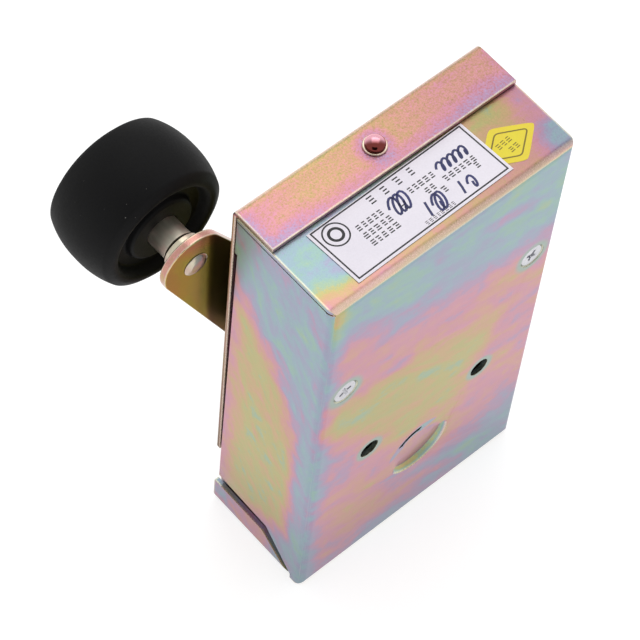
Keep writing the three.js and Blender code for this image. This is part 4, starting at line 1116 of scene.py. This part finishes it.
lever_arm()
roller_stud()
roller_tyre()
pivot_shaft()
roller_clip()
ring("roller_bush", "y", ROLLER_AXIS, THREAD_R + 0.15, BUSH_ZINC, ease=0.1)
ring("roller_washer", "y", ROLLER_AXIS, THREAD_R + 0.15, ZINC, ease=0.12)
ring("shaft_seal", "y", PIVOT_AXIS, SHAFT_R + 0.25, SEAL, ease=0.6)
ring("spacer_washer", "y", PIVOT_AXIS, SHAFT_R + 0.15, ZINC, ease=0.15)
ring("pivot_washer", "y", PIVOT_AXIS, THREAD_R + 0.15, ZINC, ease=0.2)
nut("pivot_nut", "y", PIVOT_AXIS, THREAD_R + 0.15, ZINC)


# ---------------- springs

def helix(axis, centre, radius, start, end, turns, first=0.0, steps=28):
    count = round(turns * steps)
    return [along(axis, centre, radius, first + i / steps * TAU, start + (end - start) * i / count)
            for i in range(count + 1)]


def plunger_spring():
    low, high = corners("plunger_spring")
    centre = (middle("plunger_spring").y, middle("plunger_spring").z)
    wire = 0.4
    made = tube("plunger_spring_wire", helix("x", centre, 2.8, low.x + wire, high.x - wire, 5), wire)
    finished(made, "plunger_spring", SPRING)
    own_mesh(made)


def return_spring():
    """Wound round the cam's hub, with one leg on a pillar and the other on the cam."""
    low, high = corners("return_spring")
    wire = 0.55
    radius = 8.6
    start, end = low.y + wire, high.y - wire
    first = math.radians(150)
    turns = 3.6
    coil = helix("y", PIVOT_AXIS, radius, start, end, turns, first, 30)
    last = first + turns * TAU
    lead_in = [along("y", PIVOT_AXIS, radius + out, first - turn, start)
               for out, turn in ((2.6, 0.55), (1.5, 0.4), (0.6, 0.22))]
    lead_out = [along("y", PIVOT_AXIS, radius + out, last + turn, end)
                for out, turn in ((0.6, 0.2), (1.7, 0.4), (3.2, 0.6))]
    made = tube("return_spring_wire", [*lead_in, *coil, *lead_out], wire)
    made.data.materials.append(SPRING)
    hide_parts("return_spring")
    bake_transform(made)


plunger_spring()
return_spring()


# ---------------- pieces inside the case

SLOT_LOOKS = {
    "zinc_plated": ZINC, "plain_steel": STEEL, "brass": BRASS, "contact_silver": SILVER,
    "moulding_dark": BAKELITE, "moulding_light": NYLON,
}
for name, node in frame["nodes"].items():
    if not node.hide_render:
        refined(name, SLOT_LOOKS[slot_of[name]], edge=0.08)


# ---------------- floor, light and camera

def flat_sheet(name, centre, across, rise, **settings):
    """A flat sheet of the studio, from its middle and the ways to two of its sides."""
    points = [centre - across - rise, centre + across - rise, centre + across + rise, centre - across + rise]
    made = mesh_object(name, points, [(0, 1, 2, 3)])
    made.data.materials.append(Look(name, **settings).material)


def floor():
    """A pale floor that glows a little, so that it comes out white."""
    flat_sheet("floor", Vector((0, 0, CASE_LOW.z - 0.02)), Vector((2500, 0, 0)), Vector((0, 2500, 0)),
               Roughness=0.7, Base_Color=(0.42, 0.42, 0.42, 1), Emission_Color=(1, 1, 1, 1),
               Emission_Strength=0.7)


def softbox(name, place, size, power):
    """A square light that faces the middle of the object. place is in metres."""
    light = bpy.data.lights.new(name, "AREA")
    light.size = size
    light.energy = power
    lamp = placed(name, light)
    lamp.location = Vector(place)
    lamp.rotation_mode = "QUATERNION"
    lamp.rotation_quaternion = Vector(place).to_track_quat("Z", "Y")


def surroundings():
    """White all round."""
    world = bpy.data.worlds.new("studio")
    bpy.context.scene.world = world
    world.use_nodes = True
    background = world.node_tree.nodes["Background"].inputs
    background["Color"].default_value = (1, 1, 1, 1)
    background["Strength"].default_value = 1.0


def camera():
    """The camera looks down on the front, the top and the left side, and leans a little."""
    azimuth, elevation, roll = (math.radians(v) for v in (-46.97, 58.38, 6.87))
    back = Vector((math.sin(azimuth) * math.cos(elevation), -math.cos(azimuth) * math.cos(elevation),
                   math.sin(elevation)))
    level = Vector((0, 0, 1)).cross(back).normalized()
    upright = back.cross(level)
    right = level * math.cos(roll) + upright * math.sin(roll)
    up = upright * math.cos(roll) - level * math.sin(roll)
    target = Vector((-0.4, 16, TOP - 38.4))
    distance, to_left, lower = 616.1, 13.82, 8.55
    place = target + back * distance - right * to_left - up * lower
    made = placed("camera", bpy.data.cameras.new("camera"))
    turn = Matrix((right, up, back)).transposed().to_4x4()
    made.matrix_world = Matrix.Translation(place * MM) @ turn
    made.data.sensor_width = 36
    made.data.lens = 166.53
    made.data.clip_start = 0.01
    made.data.clip_end = 20
    bpy.context.scene.camera = made


def dark_card():
    """A black card behind the camera, for the bright metal to reflect."""
    distance, half = 900, 330
    out = Vector((-0.47, -0.44, 0.77)).normalized()
    across = Vector((0, 0, 1)).cross(out).normalized()
    flat_sheet("card", out * distance, across * half, out.cross(across) * half, Roughness=0.9,
               Base_Color=(0.01, 0.01, 0.01, 1))


floor()
dark_card()
surroundings()
softbox("key", (0.35, 0.33, 0.78), 0.6, 1.1)
camera()
bpy.context.scene.view_settings.view_transform = "Standard"
